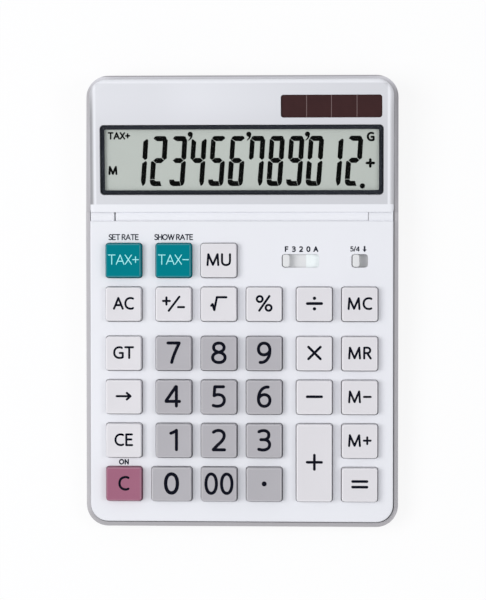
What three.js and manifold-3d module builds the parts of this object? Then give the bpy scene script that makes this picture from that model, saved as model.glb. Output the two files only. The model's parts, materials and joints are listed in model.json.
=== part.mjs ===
// Desktop calculator with a display head that tilts up, in millimetres with +Z up.
// The origin is the middle of the footprint on the table, +Y points to the rear and +X to the right.
// Three frames are used: the case's own, the sloping deck's (turned about X, its origin on the deck
// straight over the hinge), and the display face's (turned a little more, its origin on the crease).

import * as THREE from 'three';
import { mergeVertices } from 'three/addons/utils/BufferGeometryUtils.js';
import Module from 'manifold-3d';

// Case
const caseWidth = 129;
const caseDepth = 186.5;
const caseCornerRadius = 9;
const caseWall = 1.5;
const caseFloor = 1.8;
const caseEdgeRadius = 2.4;
const footHeight = 1;
const rimBelowDeck = 2.2;
const displayRimHeight = 13.9;

// Deck, which is the top face of the keyboard cover
const deckSlopeDegrees = 2.5;
const deckFrontHeight = 11;
const coverThickness = 2;
const coverSkirtWall = 1.6;
const coverSkirtDepth = 5;
const coverEdgeRadius = 0.9;
const shellGap = 0.4;

// Hinge of the display head
const hingeFromRear = 58.5;
const hingeBelowDeck = 5.7;
const hingeBarrelRadius = 5;
const hingeSlitHalf = 1.7;
const hingeKnuckleWidth = 10;
const hingeEndClearance = 0.5;
const hingePinRadius = 1.5;
const hingePinReach = 6;
const barrelWall = 1.8;

// Display head
const faceSlopeDegrees = 4;
const creaseFromHinge = 4.9;
const headThickness = 10;
const headEdgeRadius = 1.6;
const headPlate = 2.4;
const headWall = 1.6;
const headPartingDepth = 6;
const headSideInset = 0.4;
const headRearInset = 0.6;
const headFrontRadius = 2.4;
const headBack = 1.6;

// Display window, glass and boards
const windowSideMargin = 4.35;
const windowDepth = 28.6;
const windowRadius = 1.6;
const windowThickness = 1.2;
const windowFromCrease = 4.1;
const windowBorder = 1.5;
const glassThickness = 1.8;
const glassMargin = 1.8;
const zebraHeight = 1.2;
const zebraDepth = 2;
const zebraEndInset = 6.25;
const displayBoardThickness = 1;
const displayBoardSideGap = 2;
const displayBoardDepth = 44;
const ribbonWidth = 22;
const ribbonThickness = 0.4;

// Solar cell
const solarWidth = 41.5;
const solarRadius = 0.8;
const solarSideMargin = 4.85;
const solarFromWindow = 3;
const solarRearMargin = 6.525;
const solarLip = 0.6;
const solarMargin = 1.1;
const solarThickness = 1.2;

// Keys
const keyHeight = 3.2;
const keyCornerRadius = 1.3;
const keySideInset = 0.3;
const keyBevelWidth = 0.35;
const keyDishDepth = 0.2;
const keyDishInset = 2.2;
const keyWall = 1.2;
const keyRoof = 1.3;
const keyFlangeOverhang = 0.9;
const keyFlangeThickness = 1;
const keyPostSize = 4.4;
const keyTravel = 1.5;
const zeroKeyExtra = 1.9;
const columnGap = 3.55;
const columnGroupGap = 5.55;
const rowGap = 3.6;
const rowGroupGap = 5.9;
const keySideMargin = 6.425;
const keyRearMargin = 10.8;
const keyFrontMargin = 8.7;

// Rubber mat and main board under the keys
const domeBaseRadius = 3.6;
const domeTopRadius = 2.7;
const domeSkin = 0.7;
const matThickness = 0.8;
const matBehindHinge = 8.2;
const boardThickness = 1.2;
const boardOverMat = 0.5;
const chipRadius = 7;
const chipHeight = 1.2;
const chipFromHinge = 45.9;
const boardPostRadius = 1.5;
const pillarRadius = 2.2;

// Selectors
const decimalSlotWidth = 15.3;
const roundingSlotWidth = 6.7;
const slotDepth = 5.55;
const slotRadius = 1.3;
const slotBelowRow = 0.2;
const decimalSlotFromColumn = 5.725;
const knobWidth = 3.1;
const knobHeight = 1.1;
const knobBevelWidth = 0.4;
const sliderThickness = 0.6;
const sliderMargin = 1;
const sliderFootWidth = 3;
const railWidth = 1;
const railLipWidth = 0.8;
const railLipThickness = 0.7;

// Screws and feet
const screwHeadRadius = 2.5;
const screwHeadHeight = 1.4;
const screwShankRadius = 1.1;
const screwRecess = 0.9;
const bossWall = 1.2;
const caseBossHeight = 2.6;
const screwLength = 5.5;
const frontScrewFromFoot = 18;
const frontScrewInset = 4.6;
const rearScrewInset = 4;
const rearScrewFromHinge = 8.4;
const footRadius = 4.2;
const footRecess = 0.6;
const footSideInset = 12.5;
const footInset = 12;

// Shelf under the display head, and the battery bay
const shelfThickness = 1.5;
const shelfBelowHead = 0.8;
const shelfFromHinge = 7.5;
const shelfRibWidth = 1.4;
const shelfRibInset = 22.6;
const cellSideRoom = 2.3;
const cellThickness = 2.5;
const bayWall = 1.6;
const bayFromHinge = 43.4;
const bayHeight = 4.1;
const doorWidth = 24;
const doorThickness = 1.4;
const doorRadius = 1.5;
const doorTabWidth = 4;
const doorTabLength = 1.5;
const doorTabInset = 5;
const doorTabThickness = 0.9;
const doorGripWidth = 8;
const doorGripDepth = 0.5;
const doorGripCount = 3;
const doorGripPitch = 1.6;
const contactThickness = 0.4;
const contactWidth = 5;
const contactTab = 3;

// Fits
const clearance = 0.3;
const looseClearance = 0.6;
const overrun = 1;

// Smoothness, as counts of flats
const cornerSteps = 2;
const shellCornerSteps = 5;
const rollSteps = 3;
const barrelSides = 32;
const pinSides = 12;
const bossSides = 10;
const domeSides = 6;

const whitePlastic = { color: 0xe4e5ee, roughness: 0.42, metalness: 0 };
const greyPlastic = { color: 0x8f9198, roughness: 0.45, metalness: 0 };
const whiteKey = { color: 0xe0e1e8, roughness: 0.4, metalness: 0 };
const greyKey = { color: 0xb4b6bf, roughness: 0.4, metalness: 0 };
const tealKey = { color: 0x087f86, roughness: 0.4, metalness: 0 };
const pinkKey = { color: 0xad6e86, roughness: 0.4, metalness: 0 };
const blackRubber = { color: 0x26262a, roughness: 0.9, metalness: 0 };
const matRubber = { color: 0x9a9ca2, roughness: 0.85, metalness: 0 };
const greenBoard = { color: 0x2c5a3c, roughness: 0.55, metalness: 0 };
const smokedFrame = { color: 0x2b2e36, roughness: 0.15, metalness: 0 };
const displayGrey = { color: 0xb5bcb5, roughness: 0.3, metalness: 0 };
const solarBrown = { color: 0x3e2325, roughness: 0.25, metalness: 0 };
const steel = { color: 0xb8bac0, roughness: 0.35, metalness: 1 };
const amberFilm = { color: 0x8a5a2a, roughness: 0.5, metalness: 0 };

const right = new THREE.Vector3(1, 0, 0);
const deckSlope = THREE.MathUtils.degToRad(deckSlopeDegrees);
const faceSlope = THREE.MathUtils.degToRad(faceSlopeDegrees);

// Places that several pieces share
const hingeY = caseDepth / 2 - hingeFromRear;
const innerHalfWidth = caseWidth / 2 - caseWall;
const shellHalfWidth = innerHalfWidth - shellGap;
const shellRadius = caseCornerRadius - caseWall - shellGap;
const coverFrontY = -caseDepth / 2 + caseWall + shellGap;
const deckHeightAtHinge = deckFrontHeight + (hingeY - coverFrontY) * Math.tan(deckSlope);
const coverLength = (hingeY - coverFrontY) / Math.cos(deckSlope);
const floorTop = footHeight + caseFloor;
const flangeTop = -coverThickness - clearance;
const flangeLow = flangeTop - keyFlangeThickness;
const postLow = flangeLow - clearance;
const domeTop = postLow - clearance;
const matTop = flangeLow - keyTravel - clearance;
const matLow = matTop - matThickness;
const boardTop = matLow - clearance;
const boardLow = boardTop - boardThickness;
const knuckleStart = shellHalfWidth - hingeKnuckleWidth;
const hingeBarrelHalf = knuckleStart - hingeEndClearance;
const barrelClearRadius = hingeBarrelRadius + clearance;

const caseFromDeck = new THREE.Matrix4().makeRotationAxis(right, deckSlope)
  .setPosition(0, hingeY, deckHeightAtHinge);
const deckFromCase = caseFromDeck.clone().invert();
const deckFromFace = new THREE.Matrix4().makeRotationAxis(right, faceSlope)
  .setPosition(0, creaseFromHinge, 0);
const caseFromFace = caseFromDeck.clone().multiply(deckFromFace);

// Height of the deck's plane in the case's frame.
function deckHeight(y) {
  return deckHeightAtHinge + (y - hingeY) * Math.tan(deckSlope);
}

const wasm = await Module();
wasm.setup();

// Turns a closed geometry into a solid that can be cut and joined.
function solid(geometry) {
  const plain = geometry.clone();
  plain.deleteAttribute('normal');
  plain.deleteAttribute('uv');
  const merged = mergeVertices(plain);
  const vertProperties = Float32Array.from(merged.attributes.position.array);
  const triVerts = Uint32Array.from(merged.index.array);
  return new wasm.Manifold(new wasm.Mesh({ numProp: 3, vertProperties, triVerts }));
}

// Turns a solid back into a geometry.
function geometryOf(body) {
  const mesh = body.getMesh();
  const geometry = new THREE.BufferGeometry();
  geometry.setAttribute('position', new THREE.BufferAttribute(mesh.vertProperties, 3));
  geometry.setIndex(new THREE.BufferAttribute(mesh.triVerts, 1));
  geometry.computeVertexNormals();
  return geometry;
}

function join(bodies) {
  return bodies.reduce((whole, body) => whole.add(body));
}

function cut(body, tools) {
  return tools.reduce((rest, tool) => rest.subtract(tool), body);
}

// A level ring for a loft: a rounded rectangle of this size at height z, with its centre at x, y.
// The two corners at the front can have a radius of their own.
function ring(width, depth, radius, z, x = 0, y = 0, frontRadius = radius) {
  return { width, depth, radius, z, x, y, frontRadius };
}

// Points of a ring, counter-clockwise.
function ringPoints({ width, depth, radius, z, x, y, frontRadius }, steps) {
  const points = [];
  for (let corner = 0; corner < 4; corner += 1) {
    const signX = corner === 0 || corner === 3 ? 1 : -1;
    const signY = corner < 2 ? 1 : -1;
    const cornerRadius = Math.min(signY > 0 ? radius : frontRadius, width / 2, depth / 2);
    for (let step = 0; step <= steps; step += 1) {
      const angle = (corner + step / steps) * Math.PI / 2;
      points.push(
        x + signX * (width / 2 - cornerRadius) + cornerRadius * Math.cos(angle),
        y + signY * (depth / 2 - cornerRadius) + cornerRadius * Math.sin(angle),
        z,
      );
    }
  }
  return points;
}

// Joins rings one after another into a closed skin, with a flat cap on the first and the last ring.
// Rings may go up the inside and down the outside, so one loft can make a hollow cap.
function loft(rings, steps = cornerSteps) {
  const positions = rings.flatMap((level) => ringPoints(level, steps));
  const index = [];
  const count = 4 * (steps + 1);
  for (let level = 0; level + 1 < rings.length; level += 1) {
    for (let side = 0; side < count; side += 1) {
      const here = level * count + side;
      const next = level * count + (side + 1) % count;
      index.push(here, next, next + count);
      index.push(here, next + count, here + count);
    }
  }
  const last = (rings.length - 1) * count;
  for (let side = 1; side + 1 < count; side += 1) {
    index.push(0, side + 1, side);
    index.push(last, last + side, last + side + 1);
  }
  const geometry = new THREE.BufferGeometry();
  geometry.setAttribute('position', new THREE.Float32BufferAttribute(positions, 3));
  geometry.setIndex(index);
  geometry.computeVertexNormals();
  return geometry;
}

// Rings that round off the top edge of a loft, from the full outline up to the flat top at zero.
// makeRing gives the outline drawn in by an inset, at a height.
function rollRings(makeRing, roll) {
  const rings = [];
  for (let step = 0; step <= rollSteps; step += 1) {
    const angle = step / rollSteps * Math.PI / 2;
    rings.push(makeRing(roll * (1 - Math.cos(angle)), -roll * (1 - Math.sin(angle))));
  }
  return rings;
}

// A plate with rounded corners between two heights.
function plate(width, depth, radius, low, high, x = 0, y = 0, steps = cornerSteps) {
  return loft([ring(width, depth, radius, low, x, y), ring(width, depth, radius, high, x, y)], steps);
}

function block(left, rightEnd, front, rear, low, high) {
  const geometry = new THREE.BoxGeometry(rightEnd - left, rear - front, high - low);
  return geometry.translate((left + rightEnd) / 2, (front + rear) / 2, (low + high) / 2);
}

// An upright round peg or cone between two heights.
function peg(lowRadius, highRadius, low, high, x, y, sides) {
  const geometry = new THREE.CylinderGeometry(highRadius, lowRadius, high - low, sides);
  return geometry.rotateX(Math.PI / 2).translate(x, y, (low + high) / 2);
}

// A round rod along X between two ends.
function rod(radius, left, rightEnd, y, z, sides) {
  const geometry = new THREE.CylinderGeometry(radius, radius, rightEnd - left, sides);
  return geometry.rotateZ(Math.PI / 2).translate((left + rightEnd) / 2, y, z);
}

// A profile of [y, z] points run along X between two ends.
function profileAlongX(points, left, rightEnd) {
  const shape = new THREE.Shape(points.map(([y, z]) => new THREE.Vector2(y, z)));
  const geometry = new THREE.ExtrudeGeometry(shape, { depth: rightEnd - left, bevelEnabled: false });
  const turn = new THREE.Matrix4().makeBasis(
    new THREE.Vector3(0, 1, 0),
    new THREE.Vector3(0, 0, 1),
    right,
  );
  return geometry.applyMatrix4(turn).translate(left, 0, 0);
}

// The same work for the left and the right side.
function bothSides(make) {
  return [-1, 1].map(make);
}

function part(name, geometry, finish) {
  const mesh = new THREE.Mesh(geometry, new THREE.MeshStandardMaterial(finish));
  mesh.name = name;
  return mesh;
}

// Keyboard layout: keys of one size share what the margins and the gaps between them leave over

const columnGaps = [columnGroupGap, columnGap, columnGap, columnGroupGap, columnGap];
const rowGaps = [rowGap, rowGroupGap, rowGap, rowGap, rowGap];
const keyWidth = shareOut(2 * (shellHalfWidth - keySideMargin), columnGaps);
const keyDepth = shareOut(coverLength - keyRearMargin - keyFrontMargin, rowGaps);
const columnX = middles(keyWidth, columnGaps).map((place) => place - shellHalfWidth + keySideMargin);
const rowY = middles(keyDepth, rowGaps).map((place) => -keyRearMargin - place);
const rowPitch = keyDepth + rowGap;

// The size of each of the equal pieces that fill a length with these gaps between them.
function shareOut(length, gaps) {
  return (length - gaps.reduce((sum, gap) => sum + gap, 0)) / (gaps.length + 1);
}

// The middles of such pieces, measured from the start of the first.
function middles(size, gaps) {
  return gaps.reduce((list, gap) => [...list, list.at(-1) + size + gap], [size / 2]);
}

const keyRows = [
  ['key_tax_plus', 'key_tax_minus', 'key_mark_up'],
  ['key_clear_all', 'key_sign_change', 'key_square_root', 'key_percent', 'key_divide', 'key_memory_clear'],
  ['key_grand_total', 'key_7', 'key_8', 'key_9', 'key_multiply', 'key_memory_recall'],
  ['key_backspace', 'key_4', 'key_5', 'key_6', 'key_minus', 'key_memory_minus'],
  ['key_clear_entry', 'key_1', 'key_2', 'key_3', 'key_plus', 'key_memory_plus'],
  ['key_on_clear', 'key_0', 'key_00', 'key_decimal_point', null, 'key_equals'],
];
const keyFinishes = new Map([
  ['key_tax_plus', tealKey],
  ['key_tax_minus', tealKey],
  ['key_on_clear', pinkKey],
  ['key_decimal_point', greyKey],
]);

// Each key with its place, its size and its finish. The plus key is two rows tall, and the zero key
// reaches further to the left than its column.
function layOutKeys() {
  const keys = [];
  keyRows.forEach((names, row) => names.forEach((name, column) => {
    if (name === null) return;
    const tall = name === 'key_plus' ? rowPitch : 0;
    const wide = name === 'key_0' ? zeroKeyExtra : 0;
    const numeral = /^key_\d+$/.test(name);
    keys.push({
      name,
      x: columnX[column] - wide / 2,
      y: rowY[row] - tall / 2,
      width: keyWidth + wide,
      depth: keyDepth + tall,
      tall,
      finish: keyFinishes.get(name) ?? (numeral ? greyKey : whiteKey),
    });
  }));
  return keys;
}
const keys = layOutKeys();

// A hollow key cap: post, well, flange, tapered sides, rounded edge and a lightly dished top.
function keyGeometry(width, depth) {
  const roofLow = keyHeight - keyRoof;
  const postWidth = keyPostSize + width - keyWidth;
  const postDepth = keyPostSize + depth - keyDepth;
  const wellInset = 2 * keyWall;
  const overhang = 2 * keyFlangeOverhang;
  const topInset = 2 * keySideInset;
  const faceInset = topInset + 2 * keyBevelWidth;
  const dishInset = faceInset + 2 * keyDishInset;
  const wellRadius = keyCornerRadius - keySideInset;
  return loft([
    ring(postWidth, postDepth, keyWall, postLow),
    ring(postWidth, postDepth, keyWall, roofLow),
    ring(width - wellInset - topInset, depth - wellInset - topInset, wellRadius, roofLow),
    ring(width - wellInset, depth - wellInset, wellRadius, flangeLow),
    ring(width + overhang, depth + overhang, keyCornerRadius, flangeLow),
    ring(width + overhang, depth + overhang, keyCornerRadius, flangeTop),
    ring(width, depth, keyCornerRadius, flangeTop),
    ring(width - topInset, depth - topInset, keyCornerRadius, keyHeight - keyBevelWidth),
    ring(width - faceInset, depth - faceInset, keyCornerRadius, keyHeight),
    ring(width - dishInset, depth - dishInset, keyCornerRadius, keyHeight - keyDishDepth),
  ]);
}

function makeKeys() {
  return keys.map(({ name, x, y, width, depth, finish }) => {
    const mesh = part(name, keyGeometry(width, depth), finish);
    mesh.position.set(x, y, 0);
    return mesh;
  });
}

// Places where the mat has a dome: one under each key, two under the tall one.
const domePlaces = keys.flatMap(({ x, y, tall }) => (
  tall ? [{ x, y: y + tall / 2 }, { x, y: y - tall / 2 }] : [{ x, y }]
));

// Posts under the deck that locate the board, in the wide gaps between the groups of columns.
const postPlaces = [(columnX[0] + columnX[1]) / 2, (columnX[3] + columnX[4]) / 2].flatMap((x) => (
  [0, 2, 3].map((row) => ({ x, y: (rowY[row] + rowY[row + 1]) / 2 }))
));

// The two selectors. Their sliders run past each other, so the second lies under the first.
const sliderTop = -coverThickness - clearance;
const lowerSliderTop = sliderTop - sliderThickness - clearance;
const sliderShelf = lowerSliderTop - sliderThickness - clearance;
const selectors = [
  {
    name: 'decimal_selector',
    x: columnX[4] - decimalSlotFromColumn,
    slotWidth: decimalSlotWidth,
    top: sliderTop,
  },
  {
    name: 'rounding_selector',
    x: columnX[5],
    slotWidth: roundingSlotWidth,
    top: lowerSliderTop,
  },
].map((selector) => {
  const travel = selector.slotWidth - knobWidth - clearance;
  const knobX = selector.x - travel / 2;
  const sliderLeft = selector.x - selector.slotWidth / 2 - travel - sliderMargin;
  const sliderRight = selector.x + selector.slotWidth / 2 + sliderMargin;
  return { ...selector, travel, knobX, sliderLeft, sliderRight };
});
const slotY = rowY[0] - slotBelowRow;
const sliderHalf = slotDepth / 2 + sliderMargin;

// Two rails under the deck that carry a slider and let it run.
function guideRails({ sliderLeft, sliderRight, travel }) {
  return bothSides((side) => {
    const inner = side * (sliderHalf + clearance);
    const outer = inner + side * railWidth;
    const tip = inner - side * railLipWidth;
    const root = -coverThickness / 2;
    const foot = sliderShelf - railLipThickness;
    const profile = [
      [inner, root], [outer, root], [outer, foot],
      [tip, foot], [tip, sliderShelf], [inner, sliderShelf],
    ].map(([y, z]) => [y + slotY, z]);
    const facing = side > 0 ? profile.reverse() : profile;
    return solid(profileAlongX(facing, sliderLeft, sliderRight + travel));
  });
}

// Screw places in the deck frame
const footX = caseWidth / 2 - footSideInset;
const frontScrewX = footX - frontScrewFromFoot;
const frontScrewFromHinge = coverLength - frontScrewInset;
const rearScrewX = shellHalfWidth - rearScrewInset;
const screwPlaces = [
  { name: 'case_screw_front_left', x: -frontScrewX, y: -frontScrewFromHinge },
  { name: 'case_screw_front_right', x: frontScrewX, y: -frontScrewFromHinge },
  { name: 'case_screw_rear_left', x: -rearScrewX, y: -rearScrewFromHinge },
  { name: 'case_screw_rear_right', x: rearScrewX, y: -rearScrewFromHinge },
].map((screw) => {
  const place = new THREE.Vector3(screw.x, screw.y, 0).applyMatrix4(caseFromDeck);
  return { ...screw, caseX: place.x, caseY: place.y };
});
const screwSeat = footHeight + screwRecess + screwHeadHeight;
const caseBossTop = floorTop + caseBossHeight;
const coverBossLow = caseBossTop + clearance;
const coverBossRadius = screwShankRadius + bossWall;
const caseBossRadius = screwHeadRadius + clearance + bossWall;
const screwTop = screwSeat + screwLength;

function makeTopCover() {
  const reach = coverLength + shellRadius;
  const coverRing = (inset, z) => ring(
    2 * (shellHalfWidth - inset), reach - 2 * inset, shellRadius - inset, z, 0, reach / 2 - coverLength,
  );
  const shell = solid(loft([
    coverRing(coverSkirtWall, -coverThickness),
    coverRing(coverSkirtWall, -coverSkirtDepth),
    coverRing(0, -coverSkirtDepth),
    ...rollRings(coverRing, coverEdgeRadius),
  ], shellCornerSteps));
  const behind = solid(block(
    -shellHalfWidth - overrun, shellHalfWidth + overrun,
    -hingeSlitHalf, shellRadius + overrun,
    -coverSkirtDepth - overrun, overrun,
  ));
  const barrelRoom = solid(rod(
    barrelClearRadius, -knuckleStart, knuckleStart, 0, -hingeBelowDeck, barrelSides,
  ));
  const windows = keys.map((key) => solid(plate(
    key.width + 2 * clearance, key.depth + 2 * clearance, keyCornerRadius + clearance,
    -coverThickness - overrun, overrun, key.x, key.y,
  )));
  const slots = selectors.map((selector) => solid(plate(
    selector.slotWidth, slotDepth, slotRadius, -coverThickness - overrun, overrun, selector.x, slotY,
  )));
  const knuckles = bothSides((side) => {
    const ends = [side * knuckleStart, side * shellHalfWidth].sort((a, b) => a - b);
    return solid(rod(hingeBarrelRadius, ends[0], ends[1], 0, -hingeBelowDeck, barrelSides));
  });
  const pinBores = bothSides((side) => {
    const ends = [side * (knuckleStart - overrun), side * (pinEnd + clearance)].sort((a, b) => a - b);
    return solid(rod(hingePinRadius + clearance, ends[0], ends[1], 0, -hingeBelowDeck, pinSides));
  });
  const posts = postPlaces.map(({ x, y: postY }) => solid(peg(
    boardPostRadius, boardPostRadius, boardTop + clearance, -coverThickness + overrun, x, postY, bossSides,
  )));
  const bosses = screwPlaces.map(({ caseX, caseY }) => solid(peg(
    coverBossRadius, coverBossRadius, coverBossLow, deckHeight(caseY) - coverThickness / 2,
    caseX, caseY, bossSides,
  ).applyMatrix4(deckFromCase)));
  const bores = screwPlaces.map(({ caseX, caseY }) => solid(peg(
    screwShankRadius + clearance, screwShankRadius + clearance, coverBossLow - overrun,
    screwTop + clearance, caseX, caseY, bossSides,
  ).applyMatrix4(deckFromCase)));
  const rails = selectors.flatMap(guideRails);
  const open = cut(shell, [behind, barrelRoom, ...windows, ...slots]);
  const whole = cut(join([open, ...knuckles, ...posts, ...bosses, ...rails]), [...pinBores, ...bores]);
  return part('top_cover', geometryOf(whole), whitePlastic);
}

const pinStart = knuckleStart - hingePinReach;
const pinEnd = knuckleStart + hingePinReach;

function makeHingePins() {
  return bothSides((side) => {
    const ends = [side * pinStart, side * pinEnd].sort((a, b) => a - b);
    const geometry = rod(hingePinRadius, ends[0], ends[1], 0, -hingeBelowDeck, pinSides);
    return part(side < 0 ? 'hinge_pin_left' : 'hinge_pin_right', geometry, steel);
  });
}

// The board reaches as far as the screw bosses at its front and its sides let it.
const boardHalfWidth = rearScrewX - coverBossRadius - looseClearance - clearance;
const boardFront = -frontScrewFromHinge + caseBossRadius + looseClearance;
const matHalfWidth = boardHalfWidth - boardOverMat;

function makeKeyMat() {
  const front = boardFront + boardOverMat;
  const rear = -matBehindHinge;
  const sheet = solid(block(-matHalfWidth, matHalfWidth, front, rear, matLow, matTop));
  const domes = domePlaces.map(({ x, y }) => solid(peg(
    domeBaseRadius, domeTopRadius, matTop - matThickness / 2, domeTop, x, y, domeSides,
  )));
  const hollows = domePlaces.map(({ x, y }) => solid(peg(
    domeBaseRadius - domeSkin, domeTopRadius - domeSkin, matLow - overrun, domeTop - domeSkin,
    x, y, domeSides,
  )));
  const postHoles = postPlaces.map(({ x, y }) => solid(peg(
    boardPostRadius + clearance, boardPostRadius + clearance, matLow - overrun, matTop + overrun,
    x, y, bossSides,
  )));
  const sliderHoles = selectors.map(({ knobX, travel }) => solid(block(
    knobX - sliderFootWidth / 2 - looseClearance, knobX + travel + sliderFootWidth / 2 + looseClearance,
    slotY - sliderFootWidth / 2 - looseClearance, slotY + sliderFootWidth / 2 + looseClearance,
    matLow - overrun, matTop + overrun,
  )));
  const whole = cut(join([sheet, ...domes]), [...hollows, ...postHoles, ...sliderHoles]);
  return part('rubber_key_mat', geometryOf(whole), matRubber);
}

function makeMainBoard() {
  const rear = -matBehindHinge + boardOverMat;
  const board = solid(block(
    -boardHalfWidth, boardHalfWidth, boardFront, rear, boardLow, boardTop,
  ));
  const chip = solid(peg(
    chipRadius * Math.SQRT1_2, chipRadius, boardLow - chipHeight, boardLow + boardThickness / 2,
    0, -chipFromHinge, pinSides,
  ));
  return part('main_board', geometryOf(board.add(chip)), greenBoard);
}

// A selector: the knob that shows in the slot, the slider that closes the slot, and its contact foot.
function makeSelectors() {
  return selectors.map(({ name, knobX, sliderLeft, sliderRight, top }) => {
    const middle = top - sliderThickness / 2;
    const slider = block(
      sliderLeft, sliderRight, slotY - sliderHalf, slotY + sliderHalf, top - sliderThickness, top,
    );
    const knobRing = (inset, z) => ring(
      knobWidth - 2 * inset, slotDepth - clearance - 2 * inset, slotRadius - knobBevelWidth, z, knobX, slotY,
    );
    const knob = loft([
      knobRing(0, middle),
      knobRing(0, knobHeight - knobBevelWidth),
      knobRing(knobBevelWidth, knobHeight),
    ]);
    const foot = block(
      knobX - sliderFootWidth / 2, knobX + sliderFootWidth / 2,
      slotY - sliderFootWidth / 2, slotY + sliderFootWidth / 2,
      boardTop + clearance, middle,
    );
    return part(name, geometryOf(join([slider, knob, foot].map(solid))), whiteKey);
  });
}

// Display head

const headRearFromHinge = hingeFromRear - caseWall - shellGap - clearance;
const headRear = (headRearFromHinge - creaseFromHinge) / Math.cos(faceSlope);
const headFront = clearance;
const headLength = headRear - headFront;
const headMiddle = (headRear + headFront) / 2;
const ribbonLow = -hingeBelowDeck + ribbonThickness;
const windowWidth = 2 * (shellHalfWidth - windowSideMargin);
const windowMiddle = windowFromCrease + windowDepth / 2;
const windowTop = -clearance / 2;
const windowLow = windowTop - windowThickness;
const glassTop = -headPlate - clearance;
const glassLow = glassTop - glassThickness;
const zebraTop = glassLow - clearance / 2;
const zebraLow = zebraTop - zebraHeight;
const displayBoardTop = zebraLow - clearance / 2;
const displayBoardLow = displayBoardTop - displayBoardThickness;
const solarCentreX = shellHalfWidth - solarSideMargin - solarWidth / 2;
const solarFront = windowFromCrease + windowDepth + solarFromWindow;
const solarDepth = headRear - solarRearMargin - solarFront;
const solarMiddle = solarFront + solarDepth / 2;
const solarTop = -solarLip - clearance;

// A ring of the head in the face's frame: its outline drawn in all round, and further at the rear.
function headRing(inset, z, rearInset = 0) {
  return ring(
    2 * (shellHalfWidth - inset), headLength - 2 * inset - rearInset, shellRadius - inset, z,
    0, headMiddle - rearInset / 2, headFrontRadius - inset,
  );
}

// The same ring with the head carried on in front of the crease, so that its rolled sides run out
// square at a trimmed end.
function longHeadRing(inset, z) {
  const length = headRear + shellRadius;
  return ring(
    2 * (shellHalfWidth - inset), length - 2 * inset, shellRadius - inset, z, 0, headRear - length / 2,
  );
}

// The front shell: a sloping face with a rolled edge, joined to the flat lip and the hinge barrel.
function makeDisplayFrontCover() {
  const faceShell = solid(loft([
    longHeadRing(headWall, -headPlate),
    longHeadRing(headWall, -headPartingDepth),
    longHeadRing(0, -headPartingDepth),
    ...rollRings(longHeadRing, headEdgeRadius),
  ], shellCornerSteps));
  const aheadOfCrease = (front, depth) => solid(block(
    -shellHalfWidth - overrun, shellHalfWidth + overrun, -2 * shellRadius, front, depth, overrun,
  ));
  const frontWall = solid(block(
    -shellHalfWidth, shellHalfWidth, headFront, headFront + headWall, -headPartingDepth, -headPlate / 2,
  ));
  const shell = cut(faceShell, [
    aheadOfCrease(0, -headPlate),
    aheadOfCrease(headFront, -headPartingDepth - overrun),
  ]).add(frontWall);
  const pocket = solid(plate(
    windowWidth + 2 * clearance, windowDepth + 2 * clearance, windowRadius + clearance,
    windowLow - clearance, overrun, 0, windowMiddle, shellCornerSteps,
  ));
  const opening = solid(plate(
    windowWidth - 2 * windowBorder, windowDepth - 2 * windowBorder, windowRadius,
    -headPlate - overrun, overrun, 0, windowMiddle,
  ));
  const solarOpening = solid(plate(
    solarWidth, solarDepth, solarRadius, -headPlate - overrun, overrun, solarCentreX, solarMiddle,
  ));
  const solarPocket = solid(plate(
    solarWidth + 2 * (solarMargin + clearance), solarDepth + 2 * (solarMargin + clearance), solarRadius,
    -headPlate - overrun, -solarLip, solarCentreX, solarMiddle,
  ));
  const face = cut(shell, [pocket, opening, solarOpening, solarPocket]);
  const lipEnd = creaseFromHinge + headWall;
  const lip = solid(loft([
    longHeadRing(0, -coverThickness),
    ...rollRings(longHeadRing, headEdgeRadius),
  ], shellCornerSteps)).intersect(solid(block(
    -shellHalfWidth - overrun, shellHalfWidth + overrun, hingeSlitHalf, lipEnd, -headPlate, overrun,
  )));
  const knuckleRoom = bothSides((side) => {
    const ends = [side * hingeBarrelHalf, side * (shellHalfWidth + overrun)].sort((a, b) => a - b);
    return solid(rod(barrelClearRadius, ends[0], ends[1], 0, -hingeBelowDeck, barrelSides));
  });
  const barrel = solid(rod(
    hingeBarrelRadius, -hingeBarrelHalf, hingeBarrelHalf, 0, -hingeBelowDeck, barrelSides,
  ));
  const web = solid(block(
    -hingeBarrelHalf, hingeBarrelHalf, hingeSlitHalf, lipEnd,
    -headPartingDepth + headWall / 2, -coverThickness / 2,
  ));
  const hollowHalf = pinStart - headWall;
  const barrelHollow = solid(block(
    -hollowHalf, hollowHalf, barrelWall - hingeBarrelRadius, hingeBarrelRadius - barrelWall,
    -hingeBelowDeck - hingeBarrelRadius - overrun, -hingeBelowDeck + hingeBarrelRadius - barrelWall,
  ));
  const pinBores = bothSides((side) => {
    const ends = [side * (pinStart - clearance), side * (hingeBarrelHalf + overrun)].sort((a, b) => a - b);
    return solid(rod(hingePinRadius + clearance, ends[0], ends[1], 0, -hingeBelowDeck, pinSides));
  });
  const ribbonSlot = solid(block(
    -ribbonWidth / 2 - clearance, ribbonWidth / 2 + clearance, 0, lipEnd + overrun,
    ribbonLow - clearance, ribbonLow + ribbonThickness + clearance,
  ));
  const faceInDeck = face.transform(deckFromFace.toArray());
  const hinge = cut(join([barrel, web]), [barrelHollow]);
  const whole = cut(join([cut(join([faceInDeck, lip]), knuckleRoom), hinge]), [...pinBores, ribbonSlot]);
  return part('display_front_cover', geometryOf(whole), whitePlastic);
}

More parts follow.
